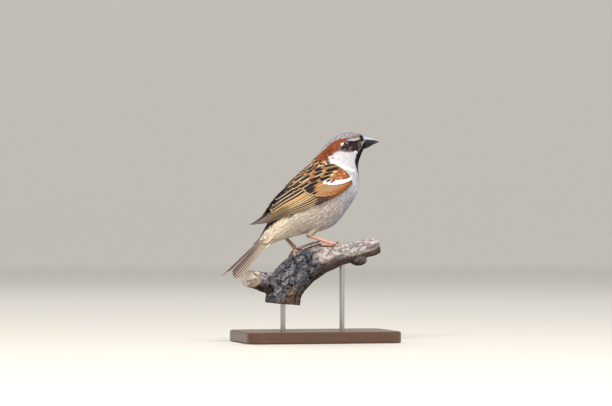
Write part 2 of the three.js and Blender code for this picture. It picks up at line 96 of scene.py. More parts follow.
TOES = {
    "right": {"middle": (0.05, 104, 0.34), "outer": (0.62, 72, 0.36), "inner": (-0.45, 70, 0.36),
              "hind": (-0.8, -2, 0.72)},
    "left": {"middle": (1.02, -14, 0.3), "outer": (0.42, 46, 0.36), "inner": (-0.38, -44, 0.4),
             "hind": (-0.3, 36, 0.62)},
}
SAWN_FACE = {"centre": (-48.8, -4.0, 45.2), "facing": (-0.62, -0.76, 0.2)}
TAIL = {"root": (-31.3, 0, 79.0), "drop": 43, "swing": 13, "roll": 16, "spread": 6.8,
        "half": 6.5, "middle": 44.5, "outer": 49.5, "longest": 0.8, "corner": 2.4, "roof": 1.6}


# ------------------------------------------------------------------ colours

def linear(code):
    """Linear red, green and blue of an sRGB hex code such as c9c2b8."""
    parts = np.array([int(code[i:i + 2], 16) / 255 for i in (0, 2, 4)])
    return np.where(parts <= 0.04045, parts / 12.92, ((parts + 0.055) / 1.055) ** 2.4)


def colour_property(label, code, what):
    return FloatVectorProperty(name=label, description=what, subtype="COLOR", size=3, min=0, max=1,
                               default=tuple(linear(code)))


# ------------------------------------------------------------------ curves and surfaces, in mm

def row_at(rows, s):
    """The row at place s of a table, smooth between its rows."""
    rows = np.asarray(rows, float)
    rows = rows[:, None] if rows.ndim == 1 else rows
    s = np.asarray(s, float)
    i = np.clip(np.floor(s).astype(int), 0, len(rows) - 2)
    t = (s - i)[..., None]
    padded = np.vstack([2 * rows[0] - rows[1], rows, 2 * rows[-1] - rows[-2]])
    a, b, c, d = (padded[i + k] for k in range(4))
    square = (2 * a - 5 * b + 4 * c - d) * t ** 2
    cube = (3 * b - a - 3 * c + d) * t ** 3
    return 0.5 * (2 * b + (c - a) * t + square + cube)


def section_point(rows, s, turn, lift=0.0):
    """A point on the body or the hull. Turn is 0 at the back, and grows towards the left."""
    back_x, back_z, belly_x, belly_z, half, egg = np.moveaxis(row_at(rows, s), -1, 0)
    reach = np.hypot(back_x - belly_x, back_z - belly_z) / 2
    up = np.cos(turn) * (1 + lift / reach) / 2
    return np.stack([
        (back_x + belly_x) / 2 + (back_x - belly_x) * up,
        (half + lift) * np.sin(turn) * (1 - egg * np.cos(turn)),
        (back_z + belly_z) / 2 + (back_z - belly_z) * up,
    ], -1)


def body_place(s, turn):
    return section_point(BODY, s, turn)


def wing_turn(s, v):
    """Degrees round the hull at share v of the folded wing's depth, at section s."""
    s = np.asarray(s, float)
    opened = np.sin(np.minimum((s - WING_START) / 0.5 + 0.12, 1) * math.pi / 2)
    top = WRIST + (row_at(WING_TOP, s)[..., 0] - WRIST) * opened
    low = WRIST + (row_at(WING_LOW, s)[..., 0] - WRIST) * opened
    return top + (low - top) * v


def wing_place(side):
    return lambda s, v: section_point(HULL, s, side * np.radians(wing_turn(s, v)))


def from_back(turn):
    """Degrees from the middle of the back, on either side."""
    return np.degrees(np.abs((turn + math.pi) % CIRCLE - math.pi))


def around(count):
    """Evenly spaced angles round a full circle."""
    return np.arange(count) / count * CIRCLE


def unit(vectors):
    vectors = np.asarray(vectors, float)
    return vectors / np.maximum(np.linalg.norm(vectors, axis=-1, keepdims=True), 1e-9)


def tail_axes():
    drop, swing, roll = (math.radians(TAIL[k]) for k in ("drop", "swing", "roll"))
    along = unit((-math.cos(drop) * math.cos(swing), -math.sin(swing),
                  -math.sin(drop) * math.cos(swing)))
    across = unit(np.cross((-math.sin(drop), 0, math.cos(drop)), along))
    across = across * np.sign(across[1])
    normal = unit(np.cross(along, across))
    normal = normal * np.sign(normal[2])
    left = across * math.cos(roll) + normal * math.sin(roll)
    return along, left, normal * math.cos(roll) - across * math.sin(roll)


def tail_place(v, u):
    """A point on the tail: v from root to tip, u from -1 at its right edge to 1 at its left."""
    along, left, up = tail_axes()
    out = np.abs(u)
    rise = np.sin(np.minimum(out / TAIL["longest"], 1) * math.pi / 2)
    fall = TAIL["corner"] * np.maximum(out - TAIL["longest"], 0) / (1 - TAIL["longest"])
    reach = v * (TAIL["middle"] + (TAIL["outer"] - TAIL["middle"]) * rise - fall)
    turn = np.radians(u * TAIL["spread"])
    return (np.array(TAIL["root"]) + left * (u * TAIL["half"] + np.sin(turn) * reach)[..., None]
            + along * (np.cos(turn) * reach)[..., None]
            - up * (TAIL["roof"] * u ** 2)[..., None])


def slopes(place, a, b):
    """How a point on a surface moves with each of its two parameters."""
    step = 1e-3
    along = (place(a + step, b) - place(a - step, b)) / (2 * step)
    across = (place(a, b + step) - place(a, b - step)) / (2 * step)
    return along, across


def outward(place, a, b, side=1):
    along, across = slopes(place, a, b)
    return unit(np.cross(across, along)) * side


def kept_in(share):
    """A share from 0 to 1, moved off the edges of a UV map."""
    return 0.02 + 0.96 * share


# ------------------------------------------------------------------ meshes from arrays

def mark(mesh, colours):
    """Give each point its colour, which the materials read from the attribute markings."""
    rgb_one = np.concatenate([colours, np.ones((len(colours), 1))], 1)
    layer = mesh.color_attributes.new("markings", "FLOAT_COLOR", "POINT")
    layer.data.foreach_set("color", rgb_one.ravel())


def make_mesh(name, points, faces, colours=None, maps=None):
    """An object at the origin from points in mm and a list of face arrays of one size each.

    An array of maps called normals holds a shading direction for each point instead of places.
    """
    maps = dict(maps or {})
    normals = maps.pop("normals", None)
    mesh = bpy.data.meshes.new(name)
    corners = np.concatenate([f.ravel() for f in faces]).astype(np.int32)
    sizes = np.concatenate([np.full(len(f), f.shape[1], np.int32) for f in faces])
    mesh.vertices.add(len(points))
    mesh.vertices.foreach_set("co", (np.asarray(points, float) * MM).ravel())
    mesh.loops.add(len(corners))
    mesh.loops.foreach_set("vertex_index", corners)
    mesh.polygons.add(len(sizes))
    mesh.polygons.foreach_set("loop_start", np.concatenate([[0], np.cumsum(sizes)[:-1]]))
    mesh.polygons.foreach_set("loop_total", sizes)
    mesh.polygons.foreach_set("use_smooth", np.ones(len(sizes), bool))
    mesh.update(calc_edges=True)
    for label, places in maps.items():
        layer = mesh.uv_layers.new(name=label)
        layer.data.foreach_set("uv", np.asarray(places, float)[corners].ravel())
    if colours is not None:
        mark(mesh, colours)
    if normals is not None:
        mesh.normals_split_custom_set_from_vertices(normals.tolist())
    piece = bpy.data.objects.new(name, mesh)
    bpy.context.scene.collection.objects.link(piece)
    return piece


def join_parts(parts):
    """One set of arrays from several (points, faces, colours, maps)."""
    start = 0
    points, faces, colours, maps = [], [], [], {}
    for p, f, c, m in parts:
        points.append(p)
        faces.extend(face + start for face in f)
        colours.append(c)
        for label, places in m.items():
            maps.setdefault(label, []).append(places)
        start += len(p)
    return (np.concatenate(points), faces, np.concatenate(colours),
            {label: np.concatenate(m) for label, m in maps.items()})


def ring_faces(rings, sides):
    """Quads of a tube whose points run ring by ring, and its two end caps as polygons."""
    i, j = np.meshgrid(np.arange(rings - 1), np.arange(sides), indexing="ij")
    nxt = (j + 1) % sides
    quads = np.stack([i * sides + j, i * sides + nxt,
                      (i + 1) * sides + nxt, (i + 1) * sides + j], -1)
    ends = [np.arange(sides)[::-1][None], ((rings - 1) * sides + np.arange(sides))[None]]
    return [quads.reshape(-1, 4), *ends]


def outward_faces(points, faces):
    """The faces, all turned round if they enclose a negative volume."""
    total = 0.0
    for f in faces:
        a = points[f[:, 0]]
        for k in range(1, f.shape[1] - 1):
            total += np.einsum("ij,ij->i", a, np.cross(points[f[:, k]], points[f[:, k + 1]])).sum()
    return faces if total > 0 else [f[:, ::-1] for f in faces]


def finish_piece(piece, material, nodes=()):
    piece.data.materials.append(material)
    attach(piece, "root")
    if nodes:
        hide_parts(*nodes)


def add_piece(name, parts, material, nodes=()):
    """A finished piece from the arrays (points, faces, colours, maps)."""
    finish_piece(make_mesh(name, *parts), material, nodes)


# ------------------------------------------------------------------ vanes of the coat

# Rows of a small vane: share of its length, and share of its half width.
VANE_ROWS = ((0.3, 0.8), (0.62, 1.0), (0.86, 0.62))
FACE_ROWS = ((0.4, 0.95), (0.78, 0.75))
VANE_PATCH = 0.0013  # half width of a small vane on the bake map
BAKE_END = 11.6  # section at the end of the body's bake map
COAT_END = 11.4  # last section that has markings of its own
THIGH_VANES = 1300


def vane_template(rows):
    """Points (along, across, height) and faces of one thin closed vane."""
    points = [(0, 0, 0)]
    for along, wide in rows:
        points += [(along, -wide, 0), (along, 0, 1), (along, wide, 0), (along, 0, -0.5)]
    points.append((1, 0, 0.1))
    tris, quads = [], []
    ring = lambda k: [1 + 4 * k + j for j in range(4)]
    for j in range(4):
        first, last = ring(0), ring(len(rows) - 1)
        tris.append((0, first[j], first[(j + 1) % 4]))
        tris.append((len(points) - 1, last[(j + 1) % 4], last[j]))
        for k in range(len(rows) - 1):
            a, b = ring(k), ring(k + 1)
            quads.append((a[j], b[j], b[(j + 1) % 4], a[(j + 1) % 4]))
    return np.array(points, float), [np.array(quads), np.array(tris)]


def lay_vanes(place, a, b, spec, tints, bake, side=1, rows=VANE_ROWS):
    """Thin vanes rooted at (a, b) on a surface and lying along it.

    spec gives one number for all vanes or one for each: length, half (its half width), deep (its
    root below the surface), proud (its tip above it) and thick, all in mm, and lean (radians
    from the lie). tints are the colours of its root, middle and tip.
    """
    template, faces = vane_template(rows)
    length, half, deep, proud, thick, lean = (
        np.broadcast_to(spec[key], len(a))[:, None]
        for key in ("length", "half", "deep", "proud", "thick", "lean"))
    along, across = slopes(place, a, b)
    normal = unit(np.cross(across, along)) * side
    lie = unit(along)
    cross = np.cross(normal, lie)
    forward = lie * np.cos(lean) + cross * np.sin(lean)
    sideways = cross * np.cos(lean) - lie * np.sin(lean)
    e, f, g = ((x * y).sum(-1) for x, y in ((along, along), (along, across), (across, across)))
    det = e * g - f * f

    def to_parameters(direction):
        """How both parameters grow with each mm in a direction."""
        p, q = (direction * along).sum(-1), (direction * across).sum(-1)
        return ((p * g - q * f) / det)[:, None], ((q * e - p * f) / det)[:, None]

    (forward_a, forward_b), (side_a, side_b) = to_parameters(forward), to_parameters(sideways)
    t, u, h = template.T
    go, out = length * t, half * u
    aa = a[:, None] + forward_a * go + side_a * out
    bb = b[:, None] + forward_b * go + side_b * out
    upright = outward(place, aa, bb, side)
    height = -deep * (1 - t) ** 1.6 + proud * t + thick * h
    points = place(aa, bb) + upright * height[..., None]
    # Barbs spread like a low roof: the shading leans a little to both edges and to the tip.
    shading = unit(upright + 0.3 * sideways[:, None, :] * u[:, None]
                   + 0.25 * forward[:, None, :] * (t - 0.5)[:, None])
    shift = (np.arange(len(a)) * len(template))[:, None, None]
    solid = [(face[None] + shift).reshape(-1, face.shape[1]) for face in faces]
    root, middle, tip = (tint[:, None, :] for tint in tints)
    w = t[None, :, None]
    colours = np.where(w < 0.6, root + (middle - root) * w / 0.6,
                       middle + (tip - middle) * (w - 0.6) / 0.4)
    patch = np.stack([u * VANE_PATCH, (t - 0.5) * 2 * VANE_PATCH], -1)
    maps = {
        "OFBake": (bake(a, b)[:, None, :] + patch[None]).reshape(-1, 2),
        "Vane": np.stack([out, go], -1).reshape(-1, 2),
        "normals": shading.reshape(-1, 3),
    }
    return points.reshape(-1, 3), solid, colours.reshape(-1, 3), maps


def at(value, s):
    """A size at section s, given as a number or as a function of the section."""
    return value(s) if callable(value) else value


def scatter(rng, s0, s1, spacing):
    """Staggered places on the body, about spacing mm apart, between sections s0 and s1."""
    places = []
    s, odd = s0, 0
    while s < s1:
        gap = at(spacing, s)
        count = max(int(body_circumference(s) / gap), 3)
        turn = (np.arange(count) + 0.5 * odd + 0.25) / count * CIRCLE
        jitter = rng.uniform(-0.32, 0.32, (2, count))
        step = gap * 0.86 / body_slope(s)
        places.append(np.stack([s + jitter[0] * step, turn + jitter[1] / count * CIRCLE], 1))
        s += step
        odd = 1 - odd
    return np.concatenate(places).T


def body_circumference(s):
    points = body_place(np.full(49, s), np.linspace(0, CIRCLE, 49))
    return np.linalg.norm(np.diff(points, axis=0), axis=1).sum()


def body_slope(s):
    """How many mm one section is long at section s, on average round the body."""
    turn = np.linspace(0, CIRCLE, 24, endpoint=False)
    along, _ = slopes(body_place, np.full(24, s), turn)
    return np.linalg.norm(along, axis=1).mean()


def body_bake(s, turn):
    return np.stack([kept_in(turn / CIRCLE % 1), 0.02 + 0.96 * s / BAKE_END], -1)


# ------------------------------------------------------------------ markings

def soft(x, edge, width):
    """0 below edge, 1 above it, over a smooth step of the width given."""
    t = np.clip((x - edge) / width + 0.5, 0, 1)
    return t * t * (3 - 2 * t)


def within(x, low, high, width):
    return soft(x, low, width) * (1 - soft(x, high, width))


def spot(s, turn, s0, turn0, ds, dturn, edge=0.35):
    distance = np.hypot((s - s0) / ds, (turn - turn0) / dturn)
    return 1 - soft(distance, 1, edge)


def blend(base, tint, share):
    """Colours part of the way from base to tint, by a share from 0 to 1."""
    return base + (np.asarray(tint) - base) * np.asarray(np.clip(share, 0, 1))[..., None]


def evenly(colour, *shape):
    """One colour for every point of an array."""
    return np.broadcast_to(np.array(colour), (*shape, 3)).copy()


def tint(name):
    """A colour of the plumage by its name."""
    return np.array(getattr(plumage(), name))


class Paint:
    """The colours of a set of points, laid over one another from a group of settings."""

    def __init__(self, look, base, *shape):
        self.look = look
        self.colour = evenly(self.pick(base), *shape)

    def pick(self, name):
        return np.array(getattr(self.look, name))

    def lay(self, name, share, strength=1.0):
        """Cover a share of each point with a colour, darkened or lightened by its strength."""
        self.colour = blend(self.colour, self.pick(name) * strength, share)


def body_markings(s, turn, rng):
    """Colour of the coat at section s and turn (radians) round the body."""
    t = from_back(turn)
    fuzz = rng.normal(0, 1, np.shape(s))
    fleck = rng.uniform(0, 1, np.shape(s))
    patch = np.sin(34 * s + 1.9 * np.sin(0.5 * t)) * np.sin(0.75 * t + 2.1 * np.sin(21 * s + 4))
    paint = Paint(plumage(), "belly", *np.shape(s))
    lay = paint.lay

    # Underparts: grey at the side of the breast with painted blue shade on it, buff towards the
    # vent, streaked throughout.
    streaky = np.cos(1.2 * t + 2.2 * np.sin(1.7 * s)) + np.cos(0.77 * t - 1.6 * np.sin(2.3 * s + 1))
    streaky = streaky * 0.5 * (0.55 + 0.45 * np.sin(3.1 * s + 0.07 * t)) + 0.25 * fuzz
    lay("throat", 1 - soft(s, 4.9, 1.2))
    lay("breast", within(s, 4.8, 7.8, 1.3) * soft(t, 108, 26))
    lay("flank", within(s, 6.2, 9.6, 1.0) * within(t, 84, 136, 22) * 0.8)
    lay("thigh", within(s, 7.8, 9.4, 0.7) * soft(t, 136, 18) * 0.6)
    lay("vent", soft(s, 9.5, 0.7) * soft(t, 50, 24) * 0.8)
    lay("throat", within(s, 3.4, 5.3, 0.5) * (1 - soft(t, 168, 16)))
    # White streaks over the breast and belly, partly painted highlights.
    lay("white", soft(streaky, 0.3, 0.5) * soft(s, 4.6, 0.6) * 0.5)
    lay("breast", soft(-streaky, 0.35, 0.5) * within(s, 4.9, 7.8, 0.6) * 0.5, 0.75)
    lay("flank", soft(-streaky, 0.3, 0.5) * soft(s, 7.4, 0.8) * 0.6, 0.7)

    # Nape, mantle, and the back behind them, painted dark as the shadow under the wing tips.
    upper = 1 - soft(t, np.interp(s, [4.8, 5.4, 6, 7, 8, 9, 9.7, 10.5, 11.2],
                                     [62, 78, 92, 84, 78, 74, 56, 44, 15]), 10)
    mantle = upper * soft(s, 5.3, 0.3) * (1 - soft(s, 8.6, 0.5))
    stripes = np.cos(np.radians(t) * 19.0 + 0.9 * np.sin(2.3 * s) + 0.2 * fuzz)
    broken = soft(np.sin(4.6 * s + np.radians(t) * 7.0), -0.55, 0.5)
    lay("mantle", mantle)
    lay("cream", mantle * soft(-stripes, 0.1, 0.5) * 0.85)
    lay("streak", mantle * soft(stripes, 0.1, 0.4) * broken)
    # Painted shadow of the wing tips, over the back behind the mantle.
    lay("rump_shadow", upper * soft(s, 8.4, 0.6))

    # Crown and chestnut band.
    head = 1 - soft(s, np.interp(t, [0, 16, 36, 49, 60], [5.72, 5.66, 5.5, 5.19, 4.9]), 0.16)
    crown_low = np.interp(s, [0.3, 1.0, 2.0, 2.5, 2.9, 3.4, 3.8, 4.2, 4.9, 5.4],
                          [30, 36, 40, 44, 40, 33, 25, 21, 13, 4])
    band_low = np.interp(s, [2.5, 2.9, 3.2, 3.5, 4.0, 4.5, 5.0, 5.4],
                         [55, 53, 52, 53, 58, 51, 47, 60])
    chestnut = head * soft(s, 2.65, 0.3) * (1 - soft(t, band_low, 5))
    crown = head * (1 - soft(t, crown_low, 5))
    lay("chestnut", chestnut)
    lay("chestnut", chestnut * spot(s, t, 4.9, 36, 0.45, 14, 0.8) * 0.8, (0.5, 0.45, 0.5))
    lay("shoulder", chestnut * soft(patch + 0.4 * fuzz, 0.3, 0.4) * 0.55)
    lay("crown", crown)
    lay("crown", crown * soft(patch + 0.3 * fuzz, 0.45, 0.3) * 0.6, 0.4)
    lay("cheek", crown * soft(-patch + 0.3 * fuzz, 0.45, 0.3) * 0.6)

    # Cheek, with its white rim and the small dark crescent inside its rear corner.
    cheek_top = np.interp(s, [1.9, 2.45, 2.56, 2.85, 3.15, 3.6, 3.9, 4.21, 4.6, 5.0],
                          [125, 106, 98, 92, 87, 76, 64, 57, 51, 45])
    cheek_end = np.interp(t, [40, 47, 63, 78, 88, 101, 115, 125],
                          [5.0, 5.06, 5.07, 4.93, 4.78, 4.53, 4.25, 3.8])
    cheek = (soft(t, cheek_top, 4) * (1 - soft(s, cheek_end, 0.1)) * (1 - soft(t, 121, 5))
             * soft(s, 2.45, 0.16))
    behind = (spot(s, t, 5.32, 52, 0.13, 7) + spot(s, t, 5.28, 66, 0.1, 5)
              + spot(s, t, 5.15, 80, 0.1, 5))
    lay("lore", within(s, 3.6, 4.1, 0.2) * within(t, band_low, cheek_top, 4) * 0.7)
    lay("cheek", cheek)
    lay("white", cheek * soft(s - cheek_end, -0.24, 0.12))
    lay("streak", spot(s, t, 4.84, 53, 0.07, 3.5) * 0.75)
    lay("streak", behind * 0.85)

    # Face: brow, lores, mask round the eye, white spot behind it, bib.
    brow_low = np.interp(s, [0.9, 1.5, 2.0, 2.6, 2.9], [60, 64, 66, 60, 52])
    brow = within(t, crown_low, brow_low, 4) * (1 - soft(s, 2.75, 0.25)) * soft(s, 0.7, 0.3)
    edge = within(t, brow_low - 9, brow_low, 4) * within(s, 1.3, 2.6, 0.3)
    mottle = soft(patch + 0.2 * fuzz, 0.1, 0.3) * within(t, 74, 112, 6) * within(s, 1.0, 2.45, 0.2)
    mask_top = np.interp(s, [0.9, 1.5, 2.0, 2.6, 3.15, 3.6], [60, 66, 67, 60, 54, 55])
    mask_low = np.interp(s, [2.0, 2.56, 3.15, 3.4, 3.6, 3.8], [108, 96, 87, 80, 73, 60])
    bib_edge = np.interp(s, [0.0, 0.8, 1.5, 2.5, 3.2, 3.6, 3.85, 4.1],
                         [96, 103, 110, 111, 116, 132, 155, 185])
    gape = within(t - 76 - 23 * (s - 0.4), -7, 7, 5) * within(s, 0.2, 1.25, 0.15)
    lay("brow", brow)
    lay("brow", brow * soft(patch + 0.3 * fuzz, 0.35, 0.3) * 0.8, 0.35)
    lay("pale_brow", edge * (0.5 + 0.4 * soft(patch, -0.2, 0.6)))
    lay("black", spot(s, t, 1.05, 26, 0.16, 7) * 0.8)
    lay("black", spot(s, t, 0.95, 54, 0.36, 22, 0.4))
    lay("lore", within(t, brow_low + 2, 114, 5) * (1 - soft(s, 2.5, 0.16)))
    lay("gape", mottle * 0.55)
    lay("gape", spot(s, t, 1.75, 110, 0.25, 5) * 0.8)
    lay("mask", within(t, mask_top, mask_low, 4) * within(s, 1.9, 3.8, 0.14))
    lay("gape", spot(s, t, 3.0, 78, 0.34, 3.2, 0.4) * 0.4)
    lay("gape", spot(s, t, 3.05, 86, 0.22, 2.5, 0.5) * (fleck > 0.4) * 0.7)
    lay("black", within(t, mask_top, mask_top + 8, 3) * within(s, 0.7, 3.2, 0.2))
    lay("white", spot(s, t, 3.42, 53, 0.17, 3.2, 0.3))
    lay("black", soft(t, bib_edge, 5) * (1 - soft(s, 4.1, 0.2)))
    lay("white", spot(s, t, 2.52, 100, 0.12, 4) * 0.9)
    lay("white", spot(s, t, 2.3, 107, 0.12, 4) * 0.9)
    lay("cheek", gape * 0.9, 0.75)
    return paint.colour * (1 + 0.09 * fuzz)[..., None]


# ------------------------------------------------------------------ materials

def add_node(tree, kind, settings=None, inputs=None):
    """A node with its own settings and its inputs, which are values or sockets to link."""
    node = tree.nodes.new(kind)
    for key, value in (settings or {}).items():
        setattr(node, key, value)
    for key, value in (inputs or {}).items():
        if isinstance(value, bpy.types.NodeSocket):
            tree.links.new(value, node.inputs[key])
        else:
            node.inputs[key].default_value = value
    return node


def new_material(name, **surface):
    """A material with one Principled shader, and the tree to build on."""
    material = bpy.data.materials.new(name)
    material.use_nodes = True
    tree = material.node_tree
    tree.nodes.clear()
    shader = add_node(tree, "ShaderNodeBsdfPrincipled", inputs={
        key.replace("_", " "): value for key, value in surface.items()})
    add_node(tree, "ShaderNodeOutputMaterial", inputs={"Surface": shader.outputs[0]})
    return material, tree, shader


def object_place(tree):
    """A socket with the place of each point in its object's space, in metres."""
    return add_node(tree, "ShaderNodeTexCoord").outputs["Object"]


def mesh_colour(tree):
    """A socket with the colours stored on the mesh."""
    return add_node(tree, "ShaderNodeAttribute", {"attribute_name": "markings"}).outputs["Color"]


def patches(tree, vector, scale, detail, roughness=0.5, distortion=0.0):
    """A socket with soft patches of noise, from 0 to 1."""
    return add_node(tree, "ShaderNodeTexNoise", inputs={
        "Vector": vector, "Scale": scale, "Detail": detail, "Roughness": roughness,
        "Distortion": distortion}).outputs["Fac"]


def ranged(tree, value, low, high, to_low=0.0, to_high=1.0):
    """A socket that is to_low where the value is low, and to_high where it is high."""
    return add_node(tree, "ShaderNodeMapRange", inputs={
        "Value": value, "From Min": low, "From Max": high, "To Min": to_low,
        "To Max": to_high}).outputs["Result"]


def mixed(tree, factor, first, second, how="MIX"):
    """A colour socket part of the way from the first colour to the second."""
    return add_node(tree, "ShaderNodeMix", {"data_type": "RGBA", "blend_type": how}, {
        "Factor": factor, 6: first, 7: second}).outputs[2]


def stretched(tree, scale):
    """The place of each point, stretched so that a pattern runs along one way."""
    return add_node(tree, "ShaderNodeMapping", inputs={
        "Vector": object_place(tree), "Scale": scale}).outputs[0]


def relief(tree, shader, height, strength, depth):
    """Bumps on a surface, up to depth metres high."""
    bump = add_node(tree, "ShaderNodeBump", inputs={
        "Strength": strength, "Distance": depth, "Height": height})
    tree.links.new(bump.outputs[0], shader.inputs["Normal"])


def rgba(colour):
    return (*[float(c) for c in colour], 1.0)


def speckled(tree, vector, scale, low, high, colour):
    """A colour socket that is darker and lighter in soft patches of the scale given."""
    shade = ranged(tree, patches(tree, vector, scale, 4.0, 0.6), 0.3, 0.7, low, high)
    return mixed(tree, 1.0, colour, shade, "MULTIPLY")


def feather_material(name, roughness, barb_mm, sheen):
    """Keratin barbs lying side by side: dull, with a soft sheen along the vane.

    Barbs are about 0.1 mm apart on a real feather, too fine to show, so they are drawn barb_mm
    apart, slanting from the shaft to both edges.
    """
    material, tree, shader = new_material(
        name, Roughness=roughness, IOR=1.54, Specular_IOR_Level=0.18, Sheen_Weight=sheen,
        Sheen_Roughness=0.6)
    vane = add_node(tree, "ShaderNodeUVMap", {"uv_map": "Vane"})
    split = add_node(tree, "ShaderNodeSeparateXYZ", inputs={"Vector": vane.outputs[0]})
    out = add_node(tree, "ShaderNodeMath", {"operation": "ABSOLUTE"}, {0: split.outputs["X"]})
    slant = add_node(tree, "ShaderNodeMath", {"operation": "MULTIPLY_ADD"}, {
        0: out.outputs[0], 1: -0.9, 2: split.outputs["Y"]})
    turns = add_node(tree, "ShaderNodeMath", {"operation": "MULTIPLY"}, {
        0: slant.outputs[0], 1: CIRCLE / barb_mm})
    wave = add_node(tree, "ShaderNodeMath", {"operation": "SINE"}, {0: turns.outputs[0]}).outputs[0]
    colour = speckled(tree, object_place(tree), 900.0, 0.86, 1.12, mesh_colour(tree))
    shaded = mixed(tree, 1.0, colour, ranged(tree, wave, -1.0, 1.0, 0.88, 1.08), "MULTIPLY")
    tree.links.new(shaded, shader.inputs["Base Color"])
    relief(tree, shader, wave, 0.35, 0.1 * MM)
    return material


def skin_material():
    """The down next to the skin, between the vanes: dull and matted."""
    material, tree, shader = new_material("down_under_feathers", Roughness=0.95,
                                          Specular_IOR_Level=0.15)
    colour = speckled(tree, object_place(tree), 1500.0, 0.6, 1.0, mesh_colour(tree))
    tree.links.new(colour, shader.inputs["Base Color"])
    return material


def mottled_material(name, colour, other, scale, bump_mm, **surface):
    """A solid surface in two shades with a fine relief, both from noise in the object's space."""
    material, tree, shader = new_material(name, **surface)
    spots = patches(tree, object_place(tree), scale, 5.0, 0.6)
    shade = mixed(tree, ranged(tree, spots, 0.35, 0.65), rgba(colour), rgba(other))
    tree.links.new(shade, shader.inputs["Base Color"])
    relief(tree, shader, spots, 0.5, bump_mm * MM)
    return material


def attribute_material(name, scale, low, high, bump_mm, **surface):
    """A surface whose broad colours are on the mesh, with finer patches and relief over them."""
    material, tree, shader = new_material(name, **surface)
    place = object_place(tree)
    colour = speckled(tree, place, scale, low, high, mesh_colour(tree))
    tree.links.new(colour, shader.inputs["Base Color"])
    relief(tree, shader, patches(tree, place, scale * 2.2, 6.0, 0.7), 0.6, bump_mm * MM)
    return material


# ------------------------------------------------------------------ tubes for legs, toes and claws

def perch_point(s, turn, lift=0.0):
    """A point over the bark. Turn 0 is the top of the branch, and grows to the bird's left."""
    x, z, radius = np.moveaxis(row_at(PERCH, s), -1, 0)
    next_x, next_z, _ = np.moveaxis(row_at(PERCH, s + 0.01), -1, 0)
    slope = np.arctan2(next_z - z, next_x - x)
    slow = np.sin(3.1 * s + 2 * turn) * np.cos(1.7 * s - turn)
    out = radius + 0.3 * (slow + 0.5 * np.sin(6.3 * s + 3 * turn)) + lift
    return np.stack([x - np.sin(slope) * out * np.cos(turn), out * np.sin(turn),
                     z + np.cos(slope) * out * np.cos(turn)], -1)


def tube(path, radius, rings, sides, shade):
    """A closed tube along path(t). radius(t, angle) is in mm and shade(t, angle) gives colours."""
    t = np.linspace(0, 1, rings)
    along = unit(path(t + 1e-3) - path(t - 1e-3))
    up = np.stack([-along[:, 2], np.full(rings, 0.15), along[:, 0]], -1)
    across = unit(np.cross(along, up))
    up = np.cross(across, along)
    tt, aa = np.meshgrid(t, around(sides), indexing="ij")
    out = radius(tt, aa)[..., None]
    points = (path(t)[:, None] + across[:, None] * out * np.cos(aa)[..., None]
              + up[:, None] * out * np.sin(aa)[..., None]).reshape(-1, 3)
    faces = outward_faces(points, ring_faces(rings, sides))
    return points, faces, shade(tt, aa).reshape(-1, 3), {}


def straight(start, end):
    """The path of a tube along a straight line."""
    return lambda t: start + (end - start) * np.asarray(t)[..., None]


def thigh_ends(side):
    """The knee and the heel, between which a thigh is drawn."""
    return (np.array(LEGS[side][end], float) for end in ("knee", "heel"))


def rounded_ends(t, start, end):
    """Shrinks a tube to a blunt tip over shares start and end of its length."""
    a = np.sqrt(np.clip(1 - (1 - np.clip(t / max(start, 1e-6), 0, 1)) ** 2, 0.02, 1))
    b = np.sqrt(np.clip(1 - (1 - np.clip((1 - t) / max(end, 1e-6), 0, 1)) ** 2, 0.02, 1))
    return a * b


# ------------------------------------------------------------------ operators

class SparrowPlumage(bpy.types.PropertyGroup):
    crown: colour_property("Crown", "928e99", "Grey of the crown")
    chestnut: colour_property("Chestnut", "803d20", "Band from the eye to the nape")
    cheek: colour_property("Cheek", "cfccd3", "Grey-white of the cheek")
    white: colour_property("White", "fbf8f6", "Rim of the cheek and spot behind the eye")
    black: colour_property("Black", "0b090c", "Bib, line before the eye")
    lore: colour_property("Lores", "241c1b", "Dark feathers between eye and bill")
    mask: colour_property("Mask", "2b2425", "Dark feathers under the eye")
    gape: colour_property("Gape spot", "9a8272", "Pale brown spot at the corner of the bill")
    brow: colour_property("Brow", "87797a", "Brown-grey over the eye")
    pale_brow: colour_property("Brow edge", "c6b6ad", "Pale edge under the brow")
    throat: colour_property("Side of throat", "c8c8d0", "Pale grey below the cheek")
    # Grey of the breast, painted bluer for the cool shade on its side.
    breast: colour_property("Breast", "a09fab", "Blue-grey side of the breast")
    belly: colour_property("Belly", "cdc3b7", "Pale grey-beige belly")
    flank: colour_property("Flank", "bcae9f", "Grey-brown flank")
    thigh: colour_property("Thigh", "9a8674", "Brown feathers of the thigh")
    vent: colour_property("Vent", "d8c6a8", "Buff under the tail")
    mantle: colour_property("Mantle", "b98a52", "Rufous ground of the mantle")
    cream: colour_property("Cream", "e8d0a2", "Cream streaks and feather edges")
    streak: colour_property("Streak", "15101a", "Black streaks and feather centres")
    # Painted shadow: the grey-brown back behind the mantle is painted this dark for the shade under
    # the wing tips.
    rump_shadow: colour_property("Rump", "3f3530", "Grey-brown rump")
    shoulder: colour_property("Shoulder", "9c5c32", "Chestnut of the small wing coverts")
    buff: colour_property("Buff", "c29a68", "Edges of the secondaries")
    flight: colour_property("Flight feathers", "54463e", "Grey-brown of the flight feathers")
    wing_tip: colour_property("Wing tip", "7d6d68", "Worn ends of the longest flight feathers")
    tail_edge: colour_property("Tail edge", "c6b3a1", "Pale fringes of the tail feathers")
    tail: colour_property("Tail", "5c4c49", "Grey-brown of the tail feathers")
    seed: IntProperty(name="Seed", description="Scatter of the feathers", default=11, min=0)


